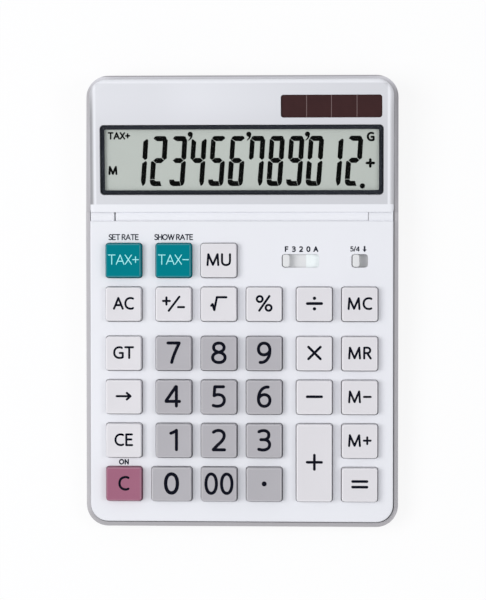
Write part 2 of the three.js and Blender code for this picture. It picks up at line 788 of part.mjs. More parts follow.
// The ribbon that leads from the display board into the hollow hinge barrel and down round its axis.
function makeRibbon() {
  const bend = hingePinRadius;
  const rear = creaseFromHinge + headWall + 2 * overrun;
  const high = ribbonLow + ribbonThickness;
  const tail = -hingeBelowDeck - hingeBarrelRadius + barrelWall;
  const profile = [
    [rear, ribbonLow], [rear, high], [0, high], [-bend / 2, high - ribbonThickness],
    [-bend / 2, tail], [-bend / 2 + ribbonThickness, tail], [-bend / 2 + ribbonThickness, ribbonLow],
  ].reverse();
  return part('display_ribbon', profileAlongX(profile, -ribbonWidth / 2, ribbonWidth / 2), amberFilm);
}

// The rear shell: a shallow pan with drafted sides.
function makeDisplayRearCover() {
  const high = -headPartingDepth - clearance;
  const low = -headThickness;
  const edge = headWall / 2;
  const pan = loft([
    headRing(headSideInset + edge, low, headRearInset),
    headRing(headSideInset, low + edge, headRearInset),
    headRing(0, high),
    headRing(headWall, high),
    headRing(headWall, low + headBack, headRearInset),
  ], shellCornerSteps);
  return part('display_rear_cover', pan, greyPlastic);
}

function makeDisplayInside() {
  const glassWidth = windowWidth + 2 * glassMargin - 2 * windowBorder;
  const glassDepth = windowDepth + 2 * glassMargin - 2 * windowBorder;
  const zebraY = windowMiddle - glassDepth / 2 + zebraDepth / 2;
  const zebraHalf = windowWidth / 2 - zebraEndInset;
  const displayBoardHalf = shellHalfWidth - headWall - displayBoardSideGap;
  const displayBoardFront = headFront + headWall + looseClearance;
  return [
    part('display_window', plate(
      windowWidth, windowDepth, windowRadius, windowLow, windowTop, 0, windowMiddle, shellCornerSteps,
    ), smokedFrame),
    part('display_glass', block(
      -glassWidth / 2, glassWidth / 2, windowMiddle - glassDepth / 2, windowMiddle + glassDepth / 2,
      glassLow, glassTop,
    ), displayGrey),
    part('zebra_connector', block(
      -zebraHalf, zebraHalf, zebraY - zebraDepth / 2, zebraY + zebraDepth / 2, zebraLow, zebraTop,
    ), blackRubber),
    part('display_board', block(
      -displayBoardHalf, displayBoardHalf, displayBoardFront, displayBoardFront + displayBoardDepth,
      displayBoardLow, displayBoardTop,
    ), greenBoard),
    part('solar_cell', plate(
      solarWidth + 2 * solarMargin, solarDepth + 2 * solarMargin, solarRadius,
      solarTop - solarThickness, solarTop, solarCentreX, solarMiddle,
    ), solarBrown),
  ];
}

// Case

const rearY = caseDepth / 2;
const axisPoint = new THREE.Vector3(0, 0, -hingeBelowDeck).applyMatrix4(caseFromDeck);
const footPlaces = [
  { name: 'foot_front_left', x: -footX, y: -rearY + footInset },
  { name: 'foot_front_right', x: footX, y: -rearY + footInset },
  { name: 'foot_rear_left', x: -footX, y: rearY - footInset },
  { name: 'foot_rear_right', x: footX, y: rearY - footInset },
];

// Height of the underside of the display head, in the case's frame.
function headUnderside(y) {
  const crease = new THREE.Vector3(0, 0, -headThickness).applyMatrix4(caseFromFace);
  return crease.z + (y - crease.y) * Math.tan(deckSlope + faceSlope);
}

const bayY = hingeY + bayFromHinge;
const bayHalf = doorWidth / 2 + clearance;
const cellRadius = bayHalf - cellSideRoom;
const doorTabX = doorWidth / 2 - doorTabInset;

function makeBottomCase() {
  const edgeRings = [];
  for (let step = 0; step <= rollSteps; step += 1) {
    const angle = step / rollSteps * Math.PI / 2;
    const inset = caseEdgeRadius * (1 - Math.sin(angle));
    const z = footHeight + caseEdgeRadius * (1 - Math.cos(angle));
    edgeRings.push(ring(caseWidth - 2 * inset, caseDepth - 2 * inset, caseCornerRadius - inset, z));
  }
  const tall = deckHeight(rearY);
  const outer = solid(loft([
    ...edgeRings,
    ring(caseWidth, caseDepth, caseCornerRadius, tall),
  ], shellCornerSteps));
  const stepY = axisPoint.y + hingeSlitHalf;
  const aboveRim = solid(profileAlongX([
    [-rearY - overrun, deckHeight(-rearY - overrun) - rimBelowDeck],
    [stepY, deckHeight(stepY) - rimBelowDeck],
    [stepY, displayRimHeight], [rearY + overrun, displayRimHeight],
    [rearY + overrun, tall + overrun], [-rearY - overrun, tall + overrun],
  ], -caseWidth / 2 - overrun, caseWidth / 2 + overrun));
  const room = solid(plate(
    2 * innerHalfWidth, caseDepth - 2 * caseWall, caseCornerRadius - caseWall,
    floorTop, tall + overrun, 0, 0, shellCornerSteps,
  ));
  const shelfStart = hingeY + shelfFromHinge;
  const shelfTop = (y) => headUnderside(y) - shelfBelowHead;
  const shelf = solid(profileAlongX([
    [shelfStart, shelfTop(shelfStart) - shelfThickness], [rearY, shelfTop(rearY) - shelfThickness],
    [rearY, shelfTop(rearY)], [shelfStart, shelfTop(shelfStart)],
  ], -caseWidth / 2, caseWidth / 2));
  const ribs = bothSides((side) => {
    const x = side * (shellHalfWidth - shelfRibInset);
    const ribTop = (y) => headUnderside(y) - clearance;
    return solid(profileAlongX([
      [shelfStart, shelfTop(shelfStart) - shelfThickness / 2], [rearY, shelfTop(rearY) - shelfThickness / 2],
      [rearY, ribTop(rearY)], [shelfStart, ribTop(shelfStart)],
    ], x - shelfRibWidth / 2, x + shelfRibWidth / 2));
  });
  const bay = solid(profileAlongX([
    [bayY - bayHalf - bayWall, 0], [bayY + bayHalf + bayWall, 0],
    [bayY + bayHalf + bayWall, shelfTop(bayY + bayHalf + bayWall) - shelfThickness / 2],
    [bayY - bayHalf - bayWall, shelfTop(bayY - bayHalf - bayWall) - shelfThickness / 2],
  ], -bayHalf - bayWall, bayHalf + bayWall));
  const bosses = screwPlaces.map(({ caseX, caseY }) => solid(peg(
    caseBossRadius, caseBossRadius, 0, caseBossTop, caseX, caseY, bossSides,
  )));
  const pillars = postPlaces.map(({ x, y }) => {
    const under = new THREE.Vector3(x, y, boardLow).applyMatrix4(caseFromDeck);
    const top = under.z - clearance - pillarRadius * Math.tan(deckSlope);
    return solid(peg(pillarRadius, pillarRadius, 0, top, under.x, under.y, bossSides));
  });
  const hollow = cut(room, [shelf, ...ribs, bay, ...bosses, ...pillars]);
  const headPockets = screwPlaces.map(({ caseX, caseY }) => solid(peg(
    screwHeadRadius + clearance, screwHeadRadius + clearance, footHeight - overrun, screwSeat,
    caseX, caseY, pinSides,
  )));
  const shankHoles = screwPlaces.map(({ caseX, caseY }) => solid(peg(
    screwShankRadius + clearance, screwShankRadius + clearance, footHeight - overrun, caseBossTop + overrun,
    caseX, caseY, bossSides,
  )));
  const footPockets = footPlaces.map(({ x, y }) => solid(peg(
    footRadius + clearance, footRadius + clearance, footHeight - overrun, footHeight + footRecess,
    x, y, pinSides,
  )));
  const doorway = solid(plate(
    2 * bayHalf, 2 * bayHalf, doorRadius + clearance, footHeight - overrun, floorTop + overrun, 0, bayY,
  ));
  const cellRoom = solid(block(
    -bayHalf, bayHalf, bayY - bayHalf, bayY + bayHalf, floorTop, floorTop + bayHeight,
  ));
  const tabRoom = bothSides((side) => solid(block(
    side * doorTabX - doorTabWidth / 2 - clearance, side * doorTabX + doorTabWidth / 2 + clearance,
    bayY, bayY + bayHalf + doorTabLength + clearance, floorTop, floorTop + bayHeight,
  )));
  const whole = cut(
    outer,
    [aboveRim, hollow, ...headPockets, ...shankHoles, ...footPockets, doorway, cellRoom, ...tabRoom],
  );
  return part('bottom_case', geometryOf(whole), greyPlastic);
}

function makeFeet() {
  return footPlaces.map(({ name, x, y }) => {
    const profile = [
      [0, 0], [footRadius - footRecess, 0], [footRadius, footRecess],
      [footRadius, footHeight + footRecess], [0, footHeight + footRecess],
    ].map(([radius, height]) => new THREE.Vector2(radius, height));
    const geometry = new THREE.LatheGeometry(profile, pinSides).rotateX(Math.PI / 2);
    const mesh = part(name, geometry, blackRubber);
    mesh.position.set(x, y, 0);
    return mesh;
  });
}

function makeScrews() {
  return screwPlaces.map(({ name, caseX, caseY }) => {
    const profile = [
      [0, -screwHeadHeight], [screwHeadRadius - screwHeadHeight / 2, -screwHeadHeight],
      [screwHeadRadius, -screwHeadHeight / 2], [screwHeadRadius, 0],
      [screwShankRadius, 0], [screwShankRadius, screwLength - screwShankRadius],
      [0, screwLength],
    ].map(([radius, height]) => new THREE.Vector2(radius, height));
    const geometry = new THREE.LatheGeometry(profile, bossSides).rotateX(Math.PI / 2);
    const mesh = part(name, geometry, steel);
    mesh.position.set(caseX, caseY, screwSeat);
    return mesh;
  });
}

const doorTop = footHeight + doorThickness;

// The battery door: a flush plate with grip grooves, two tabs that hook over the floor at the rear.
function makeBatteryDoor() {
  const panel = solid(plate(doorWidth, doorWidth, doorRadius, footHeight, doorTop, 0, bayY));
  const tabLow = floorTop + clearance;
  const tabs = bothSides((side) => {
    const rear = bayY + doorWidth / 2;
    return solid(profileAlongX([
      [rear - doorTabLength - doorTabThickness, footHeight + doorThickness / 2],
      [rear - doorTabThickness, footHeight + doorThickness / 2],
      [rear - clearance, tabLow], [rear + doorTabLength, tabLow],
      [rear + doorTabLength, tabLow + doorTabThickness / 2],
      [rear - doorTabLength, tabLow + doorTabThickness],
    ], side * doorTabX - doorTabWidth / 2, side * doorTabX + doorTabWidth / 2));
  });
  const grips = [];
  for (let index = 0; index < doorGripCount; index += 1) {
    const y = bayY - doorWidth / 2 + doorGripPitch * (index + 1);
    grips.push(solid(block(
      -doorGripWidth / 2, doorGripWidth / 2, y - doorGripPitch / 4, y + doorGripPitch / 4,
      footHeight - overrun, footHeight + doorGripDepth,
    )));
  }
  return part('battery_door', geometryOf(cut(join([panel, ...tabs]), grips)), greyPlastic);
}

function makeBattery() {
  const cellLow = floorTop + clearance;
  const cellTop = cellLow + cellThickness;
  const edge = contactThickness;
  const profile = [
    [0, cellLow], [cellRadius - 2 * edge, cellLow], [cellRadius, cellLow + 2 * edge],
    [cellRadius, cellTop - edge], [cellRadius - edge, cellTop], [0, cellTop],
  ].map(([radius, height]) => new THREE.Vector2(radius, height));
  const cell = new THREE.LatheGeometry(profile, 2 * pinSides).rotateX(Math.PI / 2).translate(0, bayY, 0);
  const top = cellTop + clearance;
  const plus = profileAlongX([
    [bayY - contactWidth, top], [bayY + bayHalf - clearance, top],
    [bayY + bayHalf - clearance, top + contactThickness], [bayY - contactWidth, top + contactThickness],
  ], -contactWidth / 2, contactWidth / 2);
  const minus = block(
    -contactWidth / 2, contactWidth / 2,
    bayY - bayHalf + clearance, bayY - bayHalf + clearance + contactThickness, cellLow, cellLow + contactTab,
  );
  return [
    part('battery_cell', cell, steel),
    part('battery_contact_plus', plus, steel),
    part('battery_contact_minus', minus, steel),
  ];
}

const calculator = new THREE.Group();
const deck = new THREE.Group();
deck.applyMatrix4(caseFromDeck);
const face = new THREE.Group();
face.applyMatrix4(deckFromFace);
deck.add(
  makeTopCover(), ...makeKeys(), makeKeyMat(), makeMainBoard(), ...makeSelectors(), ...makeHingePins(),
  makeDisplayFrontCover(), makeRibbon(), face,
);
face.add(makeDisplayRearCover(), ...makeDisplayInside());
calculator.add(
  makeBottomCase(), ...makeFeet(), ...makeScrews(), makeBatteryDoor(), ...makeBattery(), deck,
);

export default calculator;
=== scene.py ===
"""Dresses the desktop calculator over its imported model: shells, keys, legends, display and finishes."""

from __future__ import annotations

import json
import logging
import math
import re
from dataclasses import dataclass, replace
from enum import Enum
from typing import Mapping, Sequence

import bmesh
import bpy
from bmesh.types import BMEdge, BMesh, BMFace, BMVert
from bpy.types import ID, Material, Mesh, Node, NodeSocket, NodeTree, Object
from mathutils import Matrix, Vector
from mathutils.geometry import delaunay_2d_cdt, interpolate_bezier


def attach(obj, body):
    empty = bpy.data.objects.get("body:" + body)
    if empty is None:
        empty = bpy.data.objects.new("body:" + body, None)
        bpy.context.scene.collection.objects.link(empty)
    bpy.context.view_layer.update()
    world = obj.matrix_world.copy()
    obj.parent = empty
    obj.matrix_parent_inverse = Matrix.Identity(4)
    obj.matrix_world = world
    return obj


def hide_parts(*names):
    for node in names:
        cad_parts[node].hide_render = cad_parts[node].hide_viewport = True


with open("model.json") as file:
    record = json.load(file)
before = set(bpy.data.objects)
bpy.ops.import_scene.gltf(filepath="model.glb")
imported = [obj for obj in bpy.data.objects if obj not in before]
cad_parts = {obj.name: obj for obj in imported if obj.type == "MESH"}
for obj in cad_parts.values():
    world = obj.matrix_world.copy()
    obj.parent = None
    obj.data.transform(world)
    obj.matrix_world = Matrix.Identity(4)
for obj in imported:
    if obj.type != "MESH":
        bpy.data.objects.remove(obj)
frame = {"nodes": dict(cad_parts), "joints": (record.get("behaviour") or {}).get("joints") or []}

LOG = logging.getLogger("calculator")
MM = 0.001
OVERRUN = 1.0
CLEARANCE = 0.3
SMALLEST_RADIUS = 0.05
TINY = 0.005
DOUBLED = 1e-4
COINCIDENT = 1e-5
# The key caps' rounded top edge, which carries a painted highlight.
HIGHLIGHT_ATTRIBUTE = "painted_highlight_edge"
SHARP_ANGLE = math.radians(38)
BEVEL_ANGLE = math.radians(50)

Colour = tuple[float, float, float, float]


class Join(Enum):
    """How one form is combined with another."""

    ADD = "UNION"
    CUT = "DIFFERENCE"
    SHARE = "INTERSECT"


class Body(Enum):
    """The moving bodies that whole sub-assemblies ride on."""

    CASE = "body"
    HEAD = "display_head"
    DOOR = "battery_door"


def linked(name: str, data: ID) -> Object:
    """Makes an object and links it to the scene.

    Args:
        name: The object's name.
        data: Its mesh, camera or lamp.

    Returns:
        The object.
    """
    made = bpy.data.objects.new(name, data)
    bpy.context.scene.collection.objects.link(made)
    return made


# Places


@dataclass(frozen=True)
class Datum:
    """A plane that shapes are drawn on in mm, with x to the right, y to the rear and z out of it."""

    matrix: Matrix

    def tilted(self, y: float, slope: float) -> Datum:
        """A datum that starts at y on this one and slopes up from it by so many radians."""
        return Datum(self.matrix @ Matrix.Translation((0, y, 0)) @ Matrix.Rotation(slope, 4, "X"))

    def extent(self, node: str) -> tuple[Vector, Vector]:
        """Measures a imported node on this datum.

        Args:
            node: The node's name.

        Returns:
            Its lowest and highest corners, in mm.
        """
        back = self.matrix.inverted()
        points = [back @ (vertex.co / MM) for vertex in frame["nodes"][node].data.vertices]
        return tuple(Vector(pick(axis) for axis in zip(*points)) for pick in (min, max))

    def height(self, y: float, depth: float = 0) -> float:
        """Height over the table, at y, of a plane that lies so deep under this datum."""
        start, normal = self.matrix @ Vector((0, 0, -depth)), self.matrix.col[2]
        return start.z - (y - start.y) * normal.y / normal.z


def joint_named(name: str) -> Mapping[str, object]:
    """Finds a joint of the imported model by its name."""
    return next(joint for joint in frame["joints"] if joint["name"] == name)


def deck_datum() -> Datum:
    """Works out the keyboard deck's plane from the hinge and from the way the keys travel.

    Returns:
        The deck's datum, whose y is zero over the hinge.
    """
    normal = -Vector(joint_named("key_7_press")["axis"]).normalized()
    slope = Matrix.Rotation(math.atan2(-normal.y, normal.z), 4, "X")
    return Datum(Matrix.Translation(HINGE + normal * HINGE_BELOW_DECK) @ slope)


HINGE = Vector(joint_named("display_tilt")["pos_m"]) / MM
HINGE_BELOW_DECK = 5.7
CREASE_FROM_HINGE = 4.9
FACE_SLOPE = math.radians(4)
TABLE = Datum(Matrix.Identity(4))
DECK = deck_datum()
FACE = DECK.tilted(CREASE_FROM_HINGE, FACE_SLOPE)


# Shapes


@dataclass(frozen=True)
class Outline:
    """A rectangle with rounded corners, in mm."""

    left: float
    right: float
    front: float
    rear: float
    front_radius: float
    rear_radius: float
    steps: int
    cuts: int = 0

    @classmethod
    def centred(
        cls, x: float, y: float, width: float, depth: float, radius: float, steps: int
    ) -> Outline:
        """Makes an outline about a middle point."""
        half, deep = width / 2, depth / 2
        return cls(x - half, x + half, y - deep, y + deep, radius, radius, steps)

    @classmethod
    def spanning(
        cls, corners: tuple[Vector, Vector], radius: float, steps: int, cuts: int = 0
    ) -> Outline:
        """Makes an outline from its lowest corner to its highest."""
        low, high = corners
        return cls(low.x, high.x, low.y, high.y, radius, radius, steps, cuts)

    @property
    def middle(self) -> Vector:
        """The point halfway between the sides."""
        return Vector(((self.left + self.right) / 2, (self.front + self.rear) / 2, 0))

    def rounded(self, radius: float) -> Outline:
        """The outline with another radius at its corners."""
        return replace(self, front_radius=radius, rear_radius=radius)

    def grown(self, sides: float, front: float | None = None) -> Outline:
        """Moves the sides outwards, or inwards where the amount is negative.

        Args:
            sides: How far the sides and the rear move, in mm.
            front: How far the front moves, if not as far as the sides.

        Returns:
            The new outline.
        """
        front = sides if front is None else front
        return Outline(
            self.left - sides, self.right + sides, self.front - front, self.rear + sides,
            max(self.front_radius + front, SMALLEST_RADIUS),
            max(self.rear_radius + sides, SMALLEST_RADIUS), self.steps, self.cuts,
        )

    def shrunk(self, share: float) -> Outline:
        """Scales the outline about its middle."""
        x, y, _ = self.middle
        return Outline(
            x + (self.left - x) * share, x + (self.right - x) * share,
            y + (self.front - y) * share, y + (self.rear - y) * share,
            self.front_radius * share, self.rear_radius * share, self.steps, self.cuts,
        )

    def draw(self, mesh: BMesh, level: float) -> None:
        """Draws the outline as a closed ring of edges.

        Args:
            mesh: The mesh that gets the ring.
            level: The ring's height, in mm.
        """
        middle, known = self.middle, set(mesh.faces)
        corners = bmesh.ops.create_grid(mesh, x_segments=1, y_segments=1, size=0.5)["verts"]
        bmesh.ops.scale(mesh, vec=(self.right - self.left, self.rear - self.front, 1), verts=corners)
        bmesh.ops.translate(mesh, vec=(middle.x, middle.y, level), verts=corners)
        front = [corner for corner in corners if corner.co.y < middle.y]
        rear = [corner for corner in corners if corner.co.y > middle.y]
        for ends, radius in ((front, self.front_radius), (rear, self.rear_radius)):
            bmesh.ops.bevel(
                mesh, geom=ends, offset=radius, segments=self.steps, profile=0.5,
                affect="VERTICES", material=-1,
            )
        sheet = [face for face in mesh.faces if face not in known]
        edges = list(sheet[0].edges)
        bmesh.ops.delete(mesh, geom=sheet, context="FACES_ONLY")
        if self.cuts:
            straight = [edge for edge in edges if is_straight(edge)]
            bmesh.ops.subdivide_edges(mesh, edges=straight, cuts=self.cuts)


def is_straight(edge: BMEdge) -> bool:
    """Whether an edge of a ring runs along x or y."""
    run = edge.verts[0].co - edge.verts[1].co
    return min(abs(run.x), abs(run.y)) < TINY / 10


def turns_left(polygon: Sequence[Vector]) -> bool:
    """Whether a flat polygon goes round to the left."""
    pairs = zip(polygon, [*polygon[1:], polygon[0]])
    return sum(first.x * last.y - last.x * first.y for first, last in pairs) > 0


@dataclass(frozen=True)
class Circle:
    """A circle in mm."""

    x: float
    y: float
    radius: float
    sides: int

    @classmethod
    def about(cls, node: str, sides: int, extra: float = 0) -> Circle:
        """Makes a circle round a packed foot or screw.

        Args:
            node: The foot's or screw's name.
            sides: How many flats the circle has.
            extra: How far it lies outside the node, in mm.

        Returns:
            The circle.
        """
        low, high = TABLE.extent(node)
        middle = (low + high) / 2
        return cls(middle.x, middle.y, (high.x - low.x) / 2 + extra, sides)

    def grown(self, amount: float) -> Circle:
        """The circle with a larger radius, or a smaller one where the amount is negative."""
        return replace(self, radius=self.radius + amount)

    def draw(self, mesh: BMesh, level: float) -> None:
        """Draws the circle as a closed ring of edges."""
        made = bmesh.ops.create_circle(mesh, cap_ends=False, radius=self.radius, segments=self.sides)
        bmesh.ops.translate(mesh, vec=(self.x, self.y, level), verts=made["verts"])


Shape = Outline | Circle
Ring = tuple[Shape, float]
Loop = list[BMEdge]
Polygon = list[Vector]
Glyphs = list[list[Polygon]]


def quarter(steps: int) -> list[tuple[float, float]]:
    """How far the cosine and the sine are from one, at each step of a quarter turn."""
    turns = [step / steps * math.pi / 2 for step in range(steps + 1)]
    return [(1 - math.cos(turn), 1 - math.sin(turn)) for turn in turns]


def rolled(shape: Shape, level: float, radius: float, steps: int) -> list[Ring]:
    """Rings that round off a top edge, from the side up to the top.

    Args:
        shape: The shape of the side.
        level: Height of the top, in mm.
        radius: Radius of the rounding, negative where the top widens towards its edge.
        steps: Number of flats in the rounding.

    Returns:
        The rings, from the lowest to the highest.
    """
    return [(shape.grown(-radius * cos), level - abs(radius) * sin) for cos, sin in quarter(steps)]


def footed(shape: Shape, level: float, radius: float, steps: int) -> list[Ring]:
    """Rings that round off a bottom edge at a level, from the bottom up to the side."""
    return [(shape.grown(-radius * sin), level + radius * cos) for cos, sin in quarter(steps)]


def opened(shape: Shape, radius: float) -> list[Ring]:
    """Rings that round off the edge of an opening in a plane at zero, from the plane down."""
    return rolled(shape, 0, -radius, steps=3)[::-1]


class Form:
    """A mesh while it is being shaped, in mm on a datum."""

    def __init__(self) -> None:
        """Starts an empty mesh."""
        self.mesh = bmesh.new()

    def ring(self, shape: Shape, level: float) -> Loop:
        """Draws a shape as a closed ring.

        Args:
            shape: The shape.
            level: The ring's height, in mm.

        Returns:
            The ring's edges.
        """
        known = set(self.mesh.edges)
        shape.draw(self.mesh, level)
        return [edge for edge in self.mesh.edges if edge not in known]

    def skin(self, rings: Sequence[Ring], closed: bool = False) -> tuple[Loop, Loop]:
        """Draws rings and joins each to the next.

        The rings are stacked while they are joined, since nested rings on one level would twist.

        Args:
            rings: The shapes and their heights.
            closed: Whether the last ring is joined to the first.

        Returns:
            The edges of the first ring and those of the last.
        """
        loops = [self.ring(shape, index) for index, (shape, _) in enumerate(rings)]
        for lower, upper in zip(loops, loops[1:] + loops[:1] if closed else loops[1:]):
            bmesh.ops.bridge_loops(self.mesh, edges=lower + upper)
        for loop, (_, level) in zip(loops, rings):
            for vertex in {vertex for edge in loop for vertex in edge.verts}:
                vertex.co.z = level
        return loops[0], loops[-1]

    def fill(self, *loops: Loop) -> None:
        """Closes one ring, or the sheet between an outer ring and its holes.

        Args:
            *loops: The ring, or the outer ring and those of the holes.
        """
        edges = [edge for loop in loops for edge in loop]
        if len(loops) == 1:
            bmesh.ops.contextual_create(self.mesh, geom=edges)
        else:
            bmesh.ops.triangle_fill(self.mesh, use_beauty=True, use_dissolve=False, edges=edges)

    def solid(self, rings: Sequence[Ring]) -> Form:
        """Adds a closed solid through rings.

        Args:
            rings: The shapes and their heights.

        Returns:
            The form.
        """
        for loop in self.skin(rings):
            self.fill(loop)
        return self

    def shell(self, rings: Sequence[Ring], holes: Sequence[Sequence[Ring]]) -> Form:
        """Adds a plate with a skirt and with holes through it.

        Args:
            rings: Its rings, from the plate's underside round the skirt to its top.
            holes: The rings of each hole, from the top down.

        Returns:
            The form.
        """
        under, over = self.skin(rings)
        for loops in zip((over, under), *(self.skin(hole) for hole in holes)):
            self.fill(*loops)
        return self

    def plate(self, shape: Shape, low: float, high: float, edge: float = 0) -> Form:
        """Adds a plate whose top edge may be rounded, and returns the form."""
        top = rolled(shape, high, edge, steps=3) if edge else [(shape, high)]
        return self.solid([(shape, low), *top])

    def rod(self, radius: float, left: float, right: float, edge: float = 0) -> Form:
        """Adds a rod on the hinge's axis.

        Args:
            radius: Its radius, in mm.
            left: Where it starts along x.
            right: Where it ends.
            edge: How far its ends are eased.

        Returns:
            The form.
        """
        known = set(self.mesh.verts)
        shape = Circle(0, 0, radius, sides=72)
        rings = [(shape.grown(-edge), left), (shape, left + edge), (shape, right - edge)]
        self.solid([*rings, (shape.grown(-edge), right)] if edge else [rings[0], (shape, right)])
        verts = [vertex for vertex in self.mesh.verts if vertex not in known]
        turn = Matrix.Translation((0, 0, -HINGE_BELOW_DECK)) @ Matrix.Rotation(math.pi / 2, 4, "Y")
        bmesh.ops.transform(self.mesh, matrix=turn, verts=verts)
        return self

    def prism(self, profile: Sequence[tuple[float, float]], left: float, right: float) -> Form:
        """Adds a solid with one profile all along x.

        Args:
            profile: Its corners as y and z, in mm.
            left: Where it starts along x.
            right: Where it ends.

        Returns:
            The form.
        """
        corners = [self.mesh.verts.new((left, y, z)) for y, z in profile]
        self.raise_faces([self.mesh.faces.new(corners)], Vector((right - left, 0, 0)))
        return self

    def raise_faces(self, faces: Sequence[BMFace], move: Vector) -> None:
        """Makes a closed solid of a sheet of faces by carrying a copy of it along.

        The operator makes the sides in another order each run, so the faces are put in order.

        Args:
            faces: The sheet.
            move: How far and which way the copy goes, in mm.
        """
        made = bmesh.ops.extrude_face_region(self.mesh, geom=faces, use_keep_orig=True)["geom"]
        verts = [item for item in made if isinstance(item, BMVert)]
        bmesh.ops.translate(self.mesh, vec=move, verts=verts)
        places = {face: face.calc_center_median()[:] for face in self.mesh.faces}
        ranks = {face: rank for rank, face in enumerate(sorted(places, key=places.get))}
        self.mesh.faces.sort(key=ranks.get)

    def sheet(self, glyphs: Glyphs, low: float, high: float) -> Form:
        """Adds flat glyphs as thin solids, each the union of its polygons.

        Args:
            glyphs: The polygons of each glyph, which may overlap.
            low: Height of the underside, in mm.
            high: Height of the top.

        Returns:
            The form.
        """
        for polygons in glyphs:
            wound = [polygon if turns_left(polygon) else polygon[::-1] for polygon in polygons]
            points = [point for polygon in wound for point in polygon]
            ends = [sum(map(len, wound[: index + 1])) for index in range(len(wound))]
            faces = [list(range(end - len(polygon), end)) for end, polygon in zip(ends, wound)]
            spots, _, shares, _, _, origins = delaunay_2d_cdt(points, [], faces, 1, COINCIDENT)
            verts = [self.mesh.verts.new((spot.x, spot.y, low)) for spot in spots]
            kept = [share for share, origin in zip(shares, origins) if origin]
            made = [self.mesh.faces.new([verts[index] for index in share]) for share in kept]
            self.raise_faces(made, Vector((0, 0, high - low)))
            loose = [vertex for vertex in verts if not vertex.link_faces]
            bmesh.ops.delete(self.mesh, geom=loose, context="VERTS")
        return self

    def tidy(self) -> None:
        """Merges doubled vertices and turns every face outwards."""
        bmesh.ops.remove_doubles(self.mesh, verts=self.mesh.verts, dist=DOUBLED)
        bmesh.ops.recalc_face_normals(self.mesh, faces=self.mesh.faces)

    def as_mesh(self, name: str) -> Mesh:
        """Turns the form into a mesh, which uses it up.

        Args:
            name: The mesh's name.

        Returns:
            The mesh.
        """
        mesh = bpy.data.meshes.new(name)
        self.mesh.to_mesh(mesh)
        self.mesh.free()
        return mesh

    def combine(self, tool: Form, how: Join) -> None:
        """Adds another form's solid to this one or cuts it away.

        Args:
            tool: The other form, which is used up.
            how: Whether it is added, cut away, or only what both share is kept.
        """
        objects = []
        for form in (self, tool):
            form.tidy()
            objects.append(linked("combining", form.as_mesh("combining")))
        modifier = objects[0].modifiers.new("combine", "BOOLEAN")
        modifier.operation, modifier.solver, modifier.object = how.value, "EXACT", objects[1]
        graph = bpy.context.evaluated_depsgraph_get()
        result = bpy.data.meshes.new_from_object(objects[0].evaluated_get(graph))
        self.mesh = bmesh.new()
        self.mesh.from_mesh(result)
        for mesh in [*(item.data for item in objects), result]:
            bpy.data.meshes.remove(mesh)

    def dress(
        self, name: str, datum: Datum, body: str, finish: Finish, *replaces: str, eased: float = 0
    ) -> None:
        """Turns the form into a finished piece of the calculator.

        Args:
            name: The piece's name.
            datum: The datum that the form was drawn on.
            body: The moving body that carries it.
            finish: What its surface looks like.
            *replaces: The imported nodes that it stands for.
            eased: Width of the small bevel on its sharp edges, in mm.
        """
        self.tidy()
        faces, volume = len(self.mesh.faces), self.mesh.calc_volume(signed=True)
        gaps = sum(not edge.is_manifold for edge in self.mesh.edges)
        placed = Matrix.Scale(MM, 4) @ datum.matrix
        bmesh.ops.transform(self.mesh, matrix=placed, verts=self.mesh.verts)
        mesh = self.as_mesh(name)
        mesh.shade_smooth()
        mesh.set_sharp_from_angle(angle=SHARP_ANGLE)
        mesh.materials.append(finish.material())
        piece = linked(name, mesh)
        if eased:
            bevel = piece.modifiers.new("eased_edges", "BEVEL")
            bevel.width, bevel.segments, bevel.limit_method = eased * MM, 2, "ANGLE"
            bevel.angle_limit, bevel.use_clamp_overlap = BEVEL_ANGLE, True
        weighted = piece.modifiers.new("flat_faces", "WEIGHTED_NORMAL")
        weighted.keep_sharp, weighted.weight = True, 90
        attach(piece, body)
        if replaces:
            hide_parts(*replaces)
        LOG.info("%s: %d faces, %.0f mm3, %d open edges, on %s", name, faces, volume, gaps, body)


# Shader nodes


def tone(red: int, green: int, blue: int) -> Colour:
    """Turns a colour of 0 to 255 a channel, as it shows on a screen, into a shader's colour."""
    shares = (channel / 255 for channel in (red, green, blue))
    return (*(s / 12.92 if s <= 0.04045 else ((s + 0.055) / 1.055) ** 2.4 for s in shares), 1.0)


def shaded(colour: Sequence[float], share: float) -> Colour:
    """A colour made lighter or darker by a share of itself."""
    return (*(min(channel * share, 1.0) for channel in colour[:3]), 1.0)


WHITE = tone(255, 255, 255)
Sockets = Mapping[str | int, object]


